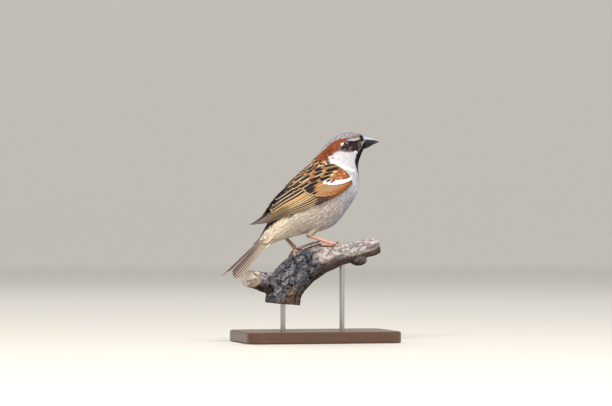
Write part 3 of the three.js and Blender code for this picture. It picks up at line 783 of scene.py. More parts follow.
class SparrowBareParts(bpy.types.PropertyGroup):
    bill: colour_property("Bill", "08070a", "Black horn of the bill")
    # Painted highlight: the ridge of the black bill is painted pale blue-grey for the shine of
    # light along it.
    bill_ridge_highlight: colour_property("Bill ridge", "b6b7c6", "Greyer horn along the ridge")
    iris: colour_property("Iris", "120806", "Dark brown iris")
    lid: colour_property("Eyelid", "2a2220", "Bare rim of the eyelid")
    lid_pale: colour_property("Lower eyelid", "c6b9b0", "Pale rim under the eye")
    near_leg: colour_property("Leg", "d5a694", "Pinkish brown of the legs")
    leg_shade: colour_property("Leg shade", "96604e", "Darker skin between the scales")
    claw: colour_property("Claw", "3d2f2a", "Dark horn of the claws")


class SparrowPerch(bpy.types.PropertyGroup):
    bark: colour_property("Bark", "4b4e59", "Blue-grey of the bark")
    # Pale bark of the thin arm, also used as painted highlight on the old bark's plates and the top
    # of the stub.
    pale_bark_and_highlight: colour_property("Pale bark", "b9b1ae", "Pale bark of the thin arm")
    bark_dark: colour_property("Cracks", "15110f", "Cracks in the bark")
    # Brown of the bark on the branch's underside, partly painted shade there; also the flakes and
    # the sawn face's edge.
    bark_brown: colour_property("Brown bark", "5e4735", "Bark on the underside")
    sawn: colour_property("Sawn face", "fdf3e8", "Fresh wood of the sawn face")
    voxel: FloatProperty(name="Bark detail", description="Size of the bark mesh's cells",
                         default=0.5 * MM, min=0.2 * MM, max=2 * MM, subtype="DISTANCE",
                         unit="LENGTH")


class SparrowStudio(bpy.types.PropertyGroup):
    paper: colour_property("Paper", "cbc8c2", "Pale floor and backdrop")
    distance: FloatProperty(name="Camera distance", description="From the camera to the bird",
                            default=2.4, min=0.5, max=10, subtype="DISTANCE", unit="LENGTH")
    turn: FloatProperty(name="Camera turn", description="From the bird's right side",
                        default=math.radians(-14), subtype="ANGLE", unit="ROTATION")


def plumage():
    return bpy.context.scene.sparrow_plumage


# Roughness, distance between the barbs as drawn (mm) and sheen.
FEATHERS = {"contour_feather": (0.9, 0.45, 0.03), "flight_feather": (0.7, 0.7, 0.02)}


def draws(number):
    """The random draws of one operator, which start from the seed of the settings."""
    return np.random.default_rng(plumage().seed + number)


def feather_look(name="contour_feather"):
    """The material of small feathers, or of flight_feather, made when it is first asked for."""
    roughness, barb_mm, sheen = FEATHERS[name]
    return bpy.data.materials.get(name) or feather_material(name, roughness, barb_mm, sheen)


def under_wing(s, turn):
    """True where the folded wing hides the body."""
    t = from_back(turn)
    hull = s - HULL_START
    return ((hull > 1.2) & (hull < 5.2) & (t > wing_turn(hull, 0.0) + 14)
            & (t < wing_turn(hull, 1.0) - 10))


def near_eye(s, turn, radius):
    x, y, z = np.moveaxis(body_place(s, turn), -1, 0)
    return (np.abs(y) > 3) & (np.hypot(x - EYE[0], z - EYE[2]) < radius)


def coat_zone(name, rng, sections, spacing, length, half, deep, proud, keep=None,
              lean=0.12, rows=VANE_ROWS, thick=0.08):
    """One piece of coat over the body between two sections.

    spacing, length and half may each be a number in mm or a function of the section.
    """
    s, turn = scatter(rng, *sections, spacing)
    steps = np.linspace(*sections, 20)
    size = at(length, s) * rng.uniform(0.82, 1.18, len(s))
    tip = s + 0.85 * size / np.interp(s, steps, [body_slope(step) for step in steps])
    wanted = ~under_wing(s, turn) & ~near_eye(s, turn, ROOT_CLEAR) & ~near_eye(tip, turn, TIP_CLEAR)
    if keep is not None:
        wanted &= keep(s, turn)
    s, turn, size, tip = (values[wanted] for values in (s, turn, size, tip))
    spec = {
        "length": size,
        "half": at(half, s) * rng.uniform(0.85, 1.15, len(s)),
        "deep": deep,
        "proud": proud + rng.uniform(-0.04, 0.08, len(s)),
        "lean": rng.normal(0, lean, len(s)),
        "thick": thick,
    }
    colour = body_markings(np.clip(tip, 0, COAT_END), turn, rng)
    tints = (colour * 0.85, colour * 0.98, colour * 1.04)
    parts = lay_vanes(body_place, s, turn, spec, tints, body_bake, rows=rows)
    add_piece(name, parts, feather_look())


class SPARROW_OT_skin(bpy.types.Operator):
    """Make the skin under the feathers, in one closed piece with the thighs"""

    bl_idname = "sparrow.skin"
    bl_label = "Skin"

    def execute(self, context):
        rings, sides = 150, 96
        ss, tt = np.meshgrid(np.linspace(0.0, 11.0, rings), around(sides), indexing="ij")
        depth = np.interp(ss, [0, 2.4, 4, 5.5, 11], [0.45, 0.5, 0.6, 0.8, 0.9])
        points = section_point(BODY, ss, tt, -depth).reshape(-1, 3)
        faces = outward_faces(points, ring_faces(rings, sides))
        colours = body_markings(ss, tt, draws(0)).reshape(-1, 3) * 0.8
        parts = [(points, faces, colours, {"OFBake": body_bake(ss.ravel(), tt.ravel())})]
        wide, narrow = 3.8, 0.9
        for side in SIDES:
            points, faces, colours, _ = tube(
                straight(*thigh_ends(side)),
                lambda t, a: ((wide + (narrow - wide) * np.clip(t, 0, 1) ** 0.8)
                              * rounded_ends(t, 0.1, 0.05)),
                16, 20, lambda t, a: evenly(tint("thigh") * 0.6, *t.shape))
            parts.append((points, faces, colours, {"OFBake": np.full((len(points), 2), 0.005)}))
        add_piece("skin", join_parts(parts), skin_material(),
                  ("head", "neck", "trunk", "thigh_right", "thigh_left"))
        return {"FINISHED"}


class SPARROW_OT_head_coat(bpy.types.Operator):
    """Lay the smallest feathers, over the face, crown and throat"""

    bl_idname = "sparrow.head_coat"
    bl_label = "Head feathers"

    def execute(self, context):
        rng = draws(1)
        coat_zone("coat_face", rng, (0.06, 2.4), lambda s: 0.3 + 0.03 * s, lambda s: 1.6 + 0.35 * s,
                  0.17, 0.4, 0.05, rows=FACE_ROWS, thick=0.04)
        coat_zone("coat_head", rng, (2.3, 4.6), lambda s: 0.4 + 0.07 * (s - 2.3),
                  lambda s: 2.5 + 0.5 * (s - 2.3), lambda s: 0.23 + 0.05 * (s - 2.3), 0.5, 0.05,
                  rows=FACE_ROWS, thick=0.05)
        coat_zone("coat_neck", rng, (4.4, 6.0), 0.6, 4.6, 0.38, 0.7, 0.06,
                  keep=lambda s, turn: (np.cos(turn) < 0.2) | (s < 5.2))
        return {"FINISHED"}


class SPARROW_OT_body_coat(bpy.types.Operator):
    """Lay the feathers of the breast, back, flanks, belly and vent"""

    bl_idname = "sparrow.body_coat"
    bl_label = "Body feathers"

    def execute(self, context):
        rng = draws(2)
        back = lambda s, turn: np.cos(turn) > 0.15
        front = lambda s, turn: np.cos(turn) <= 0.15
        coat_zone("coat_back", rng, (5.4, 9.2), 0.95, 7.0, 0.75, 0.9, -0.2,
                  keep=back, lean=0.06)
        self.mantle(rng)
        coat_zone("coat_breast", rng, (5.6, 8.4), 0.68, 6.5, 0.38, 0.95, 0.05,
                  keep=front, thick=0.06, lean=0.1)
        coat_zone("coat_belly", rng, (8.2, 11.3), 0.7, 8.0, 0.4, 0.95, 0.06,
                  keep=front, thick=0.06, lean=0.1)
        coat_zone("coat_rump", rng, (9.0, 11.2), 0.85, 8.0, 0.55, 0.9, 0.08,
                  keep=back, thick=0.1, lean=0.08)
        return {"FINISHED"}

    def mantle(self, rng):
        """Long feathers in columns down the back, so that their black centres run into streaks."""
        parts = []
        for column in range(-11, 12):
            pale = column % 2
            for row in range(11):
                s = 5.26 + 0.33 * (row + 0.5 * pale) + rng.uniform(-0.06, 0.06)
                turn = column * 0.135 + rng.uniform(-0.02, 0.02)
                limit = np.interp(s, [5.2, 6, 7, 8, 8.8], [76, 92, 84, 76, 70])
                if abs(math.degrees(turn)) > limit or s > 8.7:
                    continue
                rufous = blend(tint("mantle"), tint("shoulder"), rng.uniform(0, 0.6))
                edge = blend(rufous, tint("cream"), 1.0 if pale else 0.2)
                centre = tint("streak") if rng.uniform() > 0.1 else rufous * 0.6
                tints = edged(centre, edge, rng.uniform(0.2, 0.28), tip=blend(rufous, edge, 0.6),
                              tip_length=0.07, inner=blend(rufous, centre, 0.5 * pale), start=0.1)
                reach = 0.7 if s > 5.6 else 0.42
                parts.append(blade(
                    body_place, body_bake, (s, turn), (s + reach, turn * 0.985),
                    rng.uniform(0.085, 0.1), (-0.5, 0.4), mirrored(tints) if column < 0 else tints,
                    rows=7, end_rows=4, across=PLAIN_ACROSS, round_tip=0.3, thick=0.16))
        add_piece("coat_mantle", join_parts(parts), feather_look("flight_feather"))


class SPARROW_OT_thigh_coat(bpy.types.Operator):
    """Lay the small feathers of the thighs, down to the bare shanks"""

    bl_idname = "sparrow.thigh_coat"
    bl_label = "Thigh feathers"

    def execute(self, context):
        rng = draws(3)
        count = THIGH_VANES
        for side in SIDES:
            knee, heel = thigh_ends(side)
            length = np.linalg.norm(heel - knee)
            along = (heel - knee) / length
            across = unit(np.cross(along, (0, 1, 0.2)))
            up = np.cross(along, across)

            def place(t, turn):
                """A point on the feathered thigh, with t from 0 at the knee to 1 at the heel."""
                out = 4.6 + (1.7 - 4.6) * np.clip(t, 0, 1.2) ** 0.8
                out = out * np.sqrt(1 - (np.minimum(t, 0) / 0.36) ** 2 * 0.95)
                return (knee + along * (t * length)[..., None]
                        + across * (out * np.cos(turn))[..., None]
                        + up * (out * np.sin(turn))[..., None])

            t = 1.3 * rng.uniform(0.0, 0.98, count) ** 0.6 - 0.31
            turn = rng.uniform(0, CIRCLE, count)
            size = 3.4 - 1.6 * np.maximum(t, 0)
            spec = {"length": size * rng.uniform(0.8, 1.2, count),
                    "half": 0.5 - 0.2 * np.maximum(t, 0), "deep": 0.7,
                    "proud": rng.uniform(0, 0.25, count), "lean": rng.normal(0, 0.2, count),
                    "thick": 0.09}
            tone = blend(evenly(tint("thigh"), count), tint("belly"), rng.uniform(0, 0.8, count))
            tone = tone * rng.uniform(0.85, 1.1, (count, 1))
            parts = lay_vanes(place, t, turn, spec, (tone * 0.6, tone, tone * 1.1), lambda a, b: (
                np.stack([kept_in(b / CIRCLE % 1), 0.02 + 0.73 * (a + 0.31)], -1)))
            add_piece(f"coat_thigh_{side}", parts, feather_look())
        return {"FINISHED"}


# ------------------------------------------------------------------ large feathers

# Places across a large feather, from one edge to the other, close together beside the shaft.
FINE_ACROSS = (-1, -0.85, -0.65, -0.45, -0.25, -0.06, 0.06, 0.25, 0.42, 0.58, 0.72, 0.87, 1)
PLAIN_ACROSS = (-1, -0.72, -0.45, -0.08, 0.08, 0.45, 0.72, 1)
VANE_WIDTH = 4.0  # half width of a large feather on its Vane map, in mm


def blade(place, bake, root, tip, half, lift, tints, side=1, rows=14, bend=None, round_tip=0.2,
          thick=0.22, base=0.5, across=FINE_ACROSS, end_rows=7):
    """One large feather as a thin closed blade between two places on a surface.

    half is its half width across the surface's second parameter, lift its height at root and tip,
    and bend the place that its curve leans to. tints(u, t) colours it, with u from -1 at one edge
    to 1 at the other.
    """
    t = np.concatenate([np.linspace(0, 1 - round_tip, rows), 1 - round_tip * (1 - np.sin(
        np.linspace(0, math.pi / 2, end_rows)[1:]))])
    t[-1] = 0.9995
    tt, uu = np.meshgrid(t, np.array(across), indexing="ij")
    rounding = 1 - (np.clip(tt - (1 - round_tip), 0, 1) / round_tip) ** 2
    shape = np.minimum(1, base + (1 - base) * tt / 0.35) * np.sqrt(np.clip(rounding, 0.0004, 1))
    bend = bend or ((root[0] + tip[0]) / 2, (root[1] + tip[1]) / 2)
    curve = lambda k: (1 - tt) ** 2 * root[k] + 2 * tt * (1 - tt) * bend[k] + tt ** 2 * tip[k]
    a, b = curve(0), curve(1) + half * shape * uu
    normal = outward(place, a, b, side)
    spine = place(a, b)
    height = lift[0] + (lift[1] - lift[0]) * tt
    crown = thick * (1 - uu ** 2) * 0.6
    shaft = 0.35 * thick * np.exp(-(uu / 0.1) ** 2)
    upper = spine + normal * (height + crown + shaft)[..., None]
    lower = spine + normal * (height - thick * (1 - uu ** 2) * 0.4)[..., None]
    n, m = tt.shape
    top = np.arange(n * m).reshape(n, m)
    inner = np.zeros((n, m), bool)
    inner[1:-1, 1:-1] = True
    below = top.copy()
    below[inner] = n * m + np.arange(inner.sum())
    # The upper points come first, then those of the underside that are not on the rim.
    both = lambda values: np.concatenate([values.ravel(), values[inner]])
    points = np.concatenate([upper.reshape(-1, 3), lower[inner]])
    colours = np.asarray(tints(uu, tt))
    colours = np.concatenate([colours.reshape(-1, 3), colours[inner] * 0.8])
    quad = lambda g: np.stack([g[:-1, :-1], g[:-1, 1:], g[1:, 1:], g[1:, :-1]], -1).reshape(-1, 4)
    faces = outward_faces(points - points.mean(0), [quad(top), quad(below)[:, ::-1]])
    first, last = (place(*(np.array([x]) for x in end)) for end in (root, tip))
    size = np.linalg.norm(last - first)
    vane = np.stack([both(uu) * VANE_WIDTH, both(tt) * size], -1)
    return points, faces, colours, {"OFBake": bake(both(a), both(b)), "Vane": vane}


def mirrored(tints):
    """The colours of a feather with its two edges swapped."""
    return lambda u, t: tints(-u, t)


def edged(centre, edge, width=0.3, tip=None, tip_length=0.12, inner=None, shaft=0.6, start=0.0):
    """Colours of a feather that is dark from start on, with another outer edge and tip."""
    inner = centre if inner is None else inner
    tip = edge if tip is None else tip

    def tints(u, t):
        colour = evenly(centre, *u.shape)
        colour = blend(colour, edge, (1 - soft(t, start, 0.16)) * (start > 0))
        colour = blend(colour, edge, soft(u, 1 - width * 1.6, 0.2))
        colour = blend(colour, inner, soft(-u, 1 - width * 1.2, 0.2))
        colour = blend(colour, tip, soft(t, 1 - tip_length, tip_length * 0.7))
        return blend(colour, centre * shaft, np.exp(-(u / 0.09) ** 2) * 0.7)
    return tints


def panelled(centre, edge, wide, narrow, until, end, fade=0.25):
    """Colours of a flight feather whose pale edge narrows along it, greyer towards its tip."""
    def tints(u, t):
        width = narrow + (wide - narrow) * (1 - soft(t, until, 0.3))
        colour = blend(evenly(centre, *u.shape), edge, soft(u - (1 - 2 * width), 0, 0.12))
        colour = blend(colour, centre * 0.6, soft(u, 0.97, 0.03) * 0.8)
        colour = blend(colour, end, soft(t, 1 - fade, fade * 0.8) * 0.8)
        return blend(colour, centre * 0.6, np.exp(-(u / 0.07) ** 2) * 0.6)
    return tints


def wing_bake(s, v):
    return np.stack([kept_in(np.clip(s / 8.6, 0, 1)), kept_in(np.clip(v, 0, 1))], -1)


def wing_blade(sign, *shape, **more):
    """One large feather of a folded wing."""
    return blade(wing_place(sign), wing_bake, *shape, side=sign, **more)


class SPARROW_OT_wings(bpy.types.Operator):
    """Build both folded wings, feather by feather"""

    bl_idname = "sparrow.wings"
    bl_label = "Wings"

    def execute(self, context):
        for side, sign in SIDES.items():
            rng = draws(5)
            parts = [self.core(sign), *self.flight(sign), *self.coverts(sign)]
            add_piece(f"wing_feathers_{side}", join_parts(parts), feather_look("flight_feather"),
                      (f"wing_{side}",))
            self.lesser(side, sign, rng)
            self.scapulars(side, sign)
        return {"FINISHED"}

    def flight(self, sign):
        """Primaries, secondaries and tertials, laid from the lowest and outermost upwards."""
        parts = []
        buff, cream = tint("buff"), tint("cream")
        # Lower edge of each feather from the outermost primary up, and the place of its tip.
        for k, (low, *tip) in enumerate((
                (1.0, 7.2, 0.9), (0.995, 7.55, 0.82), (0.99, 7.85, 0.7), (0.985, 7.98, 0.52),
                (0.935, 7.8, 0.36), (0.87, 7.5, 0.3), (0.8, 7.2, 0.3), (0.735, 6.95, 0.66),
                (0.675, 6.85, 0.62), (0.615, 6.75, 0.56), (0.56, 6.65, 0.5), (0.52, 6.5, 0.44))):
            primary = k < 7
            half = 0.15 if primary else 0.11
            wide, narrow = (0.12, 0.06) if primary else (0.21, 0.075) if k < 9 else (0.33, 0.1)
            tints = panelled(tint("flight") * (0.55 if primary else 0.45),
                             blend(buff, cream, 0.55) if k < 9 else buff * 1.1,
                             wide, narrow, 0.33, tint("wing_tip"), 0.4 if primary else 0.2)
            parts.append(wing_blade(
                sign, (3.0, low - half), tip, half, (-1.1 + 0.075 * k, -0.9 + 0.075 * k), tints,
                bend=(6.3, low - half + 0.02), round_tip=0.09, rows=26, base=0.8, thick=0.09))
        # The tertials lie on top: dark centres between broad cream edges.
        for root, tip, half, lift, tone in (
                ((2.7, 0.46), (6.1, 0.44), 0.075, -0.08, tint("flight") * (0.75, 0.6, 0.62)),
                ((2.7, 0.36), (6.0, 0.32), 0.08, -0.02, tint("flight") * (0.6, 0.5, 0.55)),
                ((2.8, 0.24), (5.6, 0.17), 0.085, 0.08, tint("streak") * 1.6),
                ((2.9, 0.1), (5.1, 0.02), 0.09, 0.18, tint("streak"))):
            parts.append(wing_blade(
                sign, root, tip, half, (lift - 0.1, lift),
                edged(tone, cream, 0.2, tip_length=0.03, inner=tone * 1.3),
                round_tip=0.14, rows=18, thick=0.12))
        return parts

    def coverts(self, sign):
        """Alula, primary coverts, greater coverts and the white-tipped median coverts."""
        parts = []
        dark, shoulder, white = tint("flight") * (0.6, 0.5, 0.55), tint("shoulder"), tint("white")
        for k, (root, tip, colour) in enumerate((
                ((1.8, 0.95), (3.5, 0.96), dark), ((1.8, 0.9), (3.25, 0.9), dark * 1.3),
                ((1.2, 0.97), (2.7, 0.975), shoulder * 0.5),
                ((1.0, 0.94), (2.2, 0.95), shoulder * 0.7))):
            tints = edged(colour, colour * 1.5, 0.15, tip=colour, tip_length=0.06)
            parts.append(wing_blade(sign, root, tip, 0.05, (-0.4, -0.05 + 0.05 * k), tints))
        # Greater coverts: the place of the tip, where the dark centre starts, and how dusky the
        # feather is before it.
        dusky = blend(tint("thigh"), tint("mantle"), 0.35)
        for k, (s, v, start, dull) in enumerate((
                (2.3, 0.9, 0.75, 0.1), (2.55, 0.865, 0.72, 0.4), (2.78, 0.825, 0.7, 0.8),
                (2.97, 0.78, 0.7, 1.0), (3.12, 0.73, 0.72, 0.9), (3.25, 0.665, 0.76, 0.7),
                (3.36, 0.59, 0.7, 0.3), (3.42, 0.5, 0.55, 0.1), (3.4, 0.4, 0.34, 0.0))):
            warm = blend(tint("mantle"), shoulder, 1 - k / 7)
            early = blend(warm, dusky, dull)
            tints = edged(warm if k < 5 else tint("streak"), early, 0.36 if k in (5, 6) else 0.2,
                          tip=blend(tint("cream"), warm, 0.3), inner=early, shaft=0.8, start=start,
                          tip_length=0.022 if k < 5 else 0.035)
            parts.append(wing_blade(
                sign, (s - 1.35, v - 0.035), (s, v), 0.062 if k < 7 else 0.095,
                (-0.35 + 0.03 * k, 0.02 + 0.035 * k), tints, round_tip=0.07))
        for k, (s, v) in enumerate((
                (1.0, 0.765), (1.16, 0.765), (1.32, 0.76), (1.48, 0.75), (1.64, 0.735),
                (1.8, 0.71), (1.96, 0.685), (2.12, 0.65), (2.28, 0.6), (2.42, 0.53))):
            tints = edged(tint("streak") * 1.3 if k > 7 else white, white, 0.3,
                          tip_length=0.8 if k < 7 else 0.3, inner=white * 0.9)
            parts.append(wing_blade(
                sign, (s - 0.62, v - 0.05), (s, v), 0.05, (-0.2, 0.34 + 0.012 * k), tints,
                rows=8, round_tip=0.3, thick=0.26))
        return parts

    def scapulars(self, side, sign):
        """Broad feathers over the wing's root: black centres, cream and rufous edges."""
        parts = []
        black, cream = tint("streak"), tint("cream")
        for k, (s, v, half) in enumerate((
                (1.6, 0.2, 0.075), (1.5, 0.02, 0.07), (1.85, 0.3, 0.06), (1.9, 0.03, 0.11),
                (2.2, 0.39, 0.085), (2.25, 0.14, 0.115), (2.5, 0.3, 0.07), (2.3, -0.05, 0.09),
                (2.65, 0.1, 0.1), (2.9, 0.3, 0.08), (2.75, -0.06, 0.08), (3.05, 0.15, 0.085),
                (3.3, 0.27, 0.07), (3.15, -0.04, 0.08), (3.5, 0.1, 0.075))):
            third = k % 3
            rufous = blend(tint("mantle"), tint("shoulder"), 0.15 + 0.15 * third) * 0.92
            if k < 8:
                past, share = 0.36, 0.88
                tints = edged(black, cream if third else rufous, 0.15, tip=rufous,
                              tip_length=0.12 + 0.04 * third, inner=rufous if k % 2 else black,
                              start=0.2 + 0.07 * third)
            else:
                past, share = 0.62, 0.7
                tints = edged(black, cream, 0.2, tip_length=0.05, inner=rufous, start=0.12)
            parts.append(wing_blade(
                sign, (s - 0.65, v - 0.02), (s + past + 0.05 * (k % 4), v + 0.01), half * share,
                (-0.1, 0.62 - 0.012 * k), tints, rows=9, round_tip=0.22, thick=0.3))
        add_piece(f"scapulars_{side}", join_parts(parts), feather_look("flight_feather"))

    def core(self, sign):
        """The dark inside of the folded wing, which closes the gaps between its feathers."""
        edge = 0.04
        ss, vv = np.meshgrid(np.linspace(WING_START + 0.1, 6.0, 40),
                             np.linspace(edge, 1 - edge, 14), indexing="ij")
        place = wing_place(sign)
        normal = outward(place, ss, vv, sign)
        share = (ss - WING_START) / (8 - WING_START)
        swell = 0.7 * np.sin(math.pi * np.minimum(share * 1.6, 1) ** 0.6).clip(0)
        depth = 1.15 + swell * np.sin(math.pi * (vv - edge) / 0.92).clip(0)
        both = lambda over, under: np.concatenate([over, under[:, ::-1]], 1)
        points = both(place(ss, vv) - normal * 0.95,
                      place(ss, vv) - normal * depth[..., None]).reshape(-1, 3)
        faces = outward_faces(points - points.mean(0), ring_faces(len(ss), 2 * ss.shape[1]))
        s, v = both(ss, ss).ravel(), both(vv, vv).ravel()
        maps = {"OFBake": wing_bake(s, v), "Vane": np.stack([v * 20, s * 12], -1)}
        return points, faces, evenly(tint("flight") * 0.5, len(points)), maps

    def lesser(self, side, sign, rng):
        """Small chestnut coverts of the shoulder."""
        s, v = np.meshgrid(np.arange(0.64, 2.5, 0.058), np.arange(-0.02, 1.0, 0.03), indexing="ij")
        odd_rows = 0.015 * (np.arange(len(v)) % 2)[:, None]
        s = (s + rng.uniform(-0.02, 0.02, s.shape)).ravel()
        v = (v + odd_rows + rng.uniform(-0.008, 0.008, v.shape)).ravel()
        low = np.interp(s, [0.6, 0.75, 1.0, 1.4, 1.8, 2.2, 2.5],
                        [0.5, 0.6, 0.63, 0.6, 0.52, 0.42, 0.3])
        high = np.interp(s, [0.6, 0.75, 0.9, 1.1, 1.35, 1.5], [0.46, 0.36, 0.25, 0.12, 0.02, -0.1])
        keep = (v < low) & (v > high)
        s, v = s[keep], v[keep]
        count = len(s)
        spec = {"length": rng.uniform(2.6, 3.4, count), "half": rng.uniform(0.45, 0.65, count),
                "deep": 0.5, "proud": rng.uniform(0.15, 0.3, count),
                "lean": rng.normal(0, 0.07, count), "thick": 0.07}
        tone = evenly(tint("shoulder"), count) * rng.uniform(0.6, 1.15, (count, 1))
        tone = blend(tone, tint("mantle"), (s > 1.7) * rng.uniform(0.2, 1, count))
        tone = blend(tone, tint("cream"), (rng.uniform(0, 1, count) > 0.9) * 0.5)
        parts = lay_vanes(wing_place(sign), s, v, spec, (tone * 0.6, tone * 0.9, tone * 1.15),
                          wing_bake, side=sign)
        add_piece(f"wing_coverts_{side}", parts, feather_look())


def tail_bake(v, u):
    return np.stack([kept_in(np.clip(v, 0, 1.02)), 0.5 + 0.46 * np.clip(u, -1.02, 1.02)], -1)


class SPARROW_OT_tail(bpy.types.Operator):
    """Build the tail's twelve feathers and the coverts over and under its root"""

    bl_idname = "sparrow.tail"
    bl_label = "Tail"

    def execute(self, context):
        parts = []
        # The tips of one side, from the middle feather out, with half their widths.
        fan = ((0.965, 0.3, 0.25), (0.985, 0.5, 0.21), (0.995, 0.65, 0.21), (1.0, 0.79, 0.2),
               (1.0, 0.87, 0.14), (0.985, 0.94, 0.1))
        edge, centre = tint("tail_edge"), tint("tail")
        outer = panelled(centre * 0.4, edge * 1.08, 0.18, 0.17, 0.5, edge, fade=0.025)
        middle = edged(centre, edge, 0.06, tip_length=0.018, shaft=0.5, inner=edge)
        # The right half lies on top.
        for sign, spread, bent, extra in ((1, 0.5, 0.86, 0), (-1, 0.8, 1.02, 0.2)):
            for k in range(5, -1, -1):
                v, u, half = fan[k]
                tints = lambda a, t, f=outer if k else middle: (
                    blend(f(a, t), edge, (1 - soft(t, 0.25, 0.5)) * 0.5))
                rise = 0.26 * (5 - k) + extra
                parts.append(blade(
                    tail_place, tail_bake, (0.02, sign * u * spread), (v, sign * u), half,
                    (-1.2 + rise * 0.8, -1.2 + rise), mirrored(tints) if sign < 0 else tints,
                    bend=(0.6, sign * u * bent), rows=20, round_tip=0.08, thick=0.12))
        add_piece("tail_feathers", join_parts(parts), feather_look("flight_feather"),
                  ("tail",))
        self.coverts(draws(7))
        return {"FINISHED"}

    def coverts(self, rng):
        """Small vanes over the tail's root, then those under it, which stand further out."""
        parts = []
        edge, dark = tint("tail_edge"), tint("tail")
        for over, count, reach, tall in ((True, 760, 0.26, 1.0), (False, 620, 0.28, 3.2)):
            v = rng.uniform(0.0, 1, count) ** 1.5 * reach
            u = rng.uniform(-0.95, 0.7 if over else 0.95, count)
            v = v * (1 - 0.35 * np.maximum(-u, 0) * over)
            height = tall * np.maximum(1 - v / (reach + 0.1), 0) ** 1.5 * (1 - u ** 2) + 0.12
            spec = {"length": 8.0 - 4.5 * v / reach, "half": rng.uniform(0.4, 0.65, count),
                    "deep": -height, "proud": np.maximum(height * 0.2, 0.12),
                    "lean": rng.normal(0, 0.06, count), "thick": 0.07}
            colour = evenly(tint("vent"), count) * rng.uniform(0.85, 1.12, (count, 1))
            if over:
                ragged = v + 0.12 * u + rng.normal(0, 0.03, count)
                colour = blend(colour, edge, soft(v, 0.02, 0.1) * 0.7)
                colour = blend(colour, dark, soft(ragged, 0.13, 0.12) * 0.8)
                colour = blend(colour, dark, soft(u, 0.2, 0.4) * 0.9)
            colour = blend(colour, edge, rng.uniform(0, 0.25, count))
            place = tail_place if over else lambda a, b: tail_place(a, b) - tail_axes()[2] * 1.2
            vanes = lay_vanes(place, v, u, spec, (colour * 0.9, colour, colour * 1.05), tail_bake,
                              side=1 if over else -1)
            # These stand too steeply for shading that follows the surface.
            del vanes[3]["normals"]
            parts.append(vanes)
        add_piece("tail_coverts", join_parts(parts), feather_look())


class SPARROW_OT_bill(bpy.types.Operator):
    """Shape both halves of the bill, with the nostrils"""

    bl_idname = "sparrow.bill"
    bl_label = "Bill"

    def execute(self, context):
        look = bpy.context.scene.sparrow_bare_parts
        horn = attribute_material("bill_horn", 900.0, 0.85, 1.1, 0.012, Roughness=0.3, IOR=1.55,
                                  Specular_IOR_Level=0.3)
        rings, arc, across = 60, 28, 6
        s = np.linspace(0, 4, rings)
        angle = np.linspace(0, math.pi, arc)
        top_x, top_z, edge_x, edge_z, low_x, low_z, half = row_at(BILL, s).T[..., None]
        for name, crest_x, crest_z, way, power, share in (
                ("upper", top_x, top_z, 1, 1.12, 1.0), ("lower", low_x, low_z, -1, 1.0, 0.92)):
            floor_z = edge_z + way * np.minimum(0.08, np.abs(crest_z - edge_z) / 2)
            ridge = np.sin(angle)[None] ** power
            x = edge_x + (crest_x - edge_x) * ridge
            y = half * np.cos(angle)[None] * share
            z = floor_z + (crest_z - floor_z) * ridge
            # Share of each point painted with the highlight along the ridge of the upper half.
            ridge_highlight = np.zeros((rings, arc + across))
            if name == "upper":
                nostril = np.exp(-((s[:, None] - 0.3) / 0.16) ** 2
                                 - ((np.sin(angle)[None] - 0.78) / 0.12) ** 2)
                y = y * (1 - 0.16 * nostril)
                ridge_highlight[:, :arc] = soft(ridge, 0.66, 0.34)
            floor = np.stack([np.repeat(edge_x, across, 1),
                              np.linspace(y[:, -1], y[:, 0], across + 2)[1:-1].T,
                              np.repeat(floor_z, across, 1)], -1)
            points = np.concatenate([np.stack([x, y, z], -1), floor], 1).reshape(-1, 3)
            faces = outward_faces(points - points.mean(0), ring_faces(rings, arc + across))
            colours = blend(evenly(look.bill, len(points)), look.bill_ridge_highlight, ridge_highlight.ravel())
            add_piece(f"bill_{name}_horn", (points, faces, colours), horn,
                      (f"bill_{name}",))
        return {"FINISHED"}


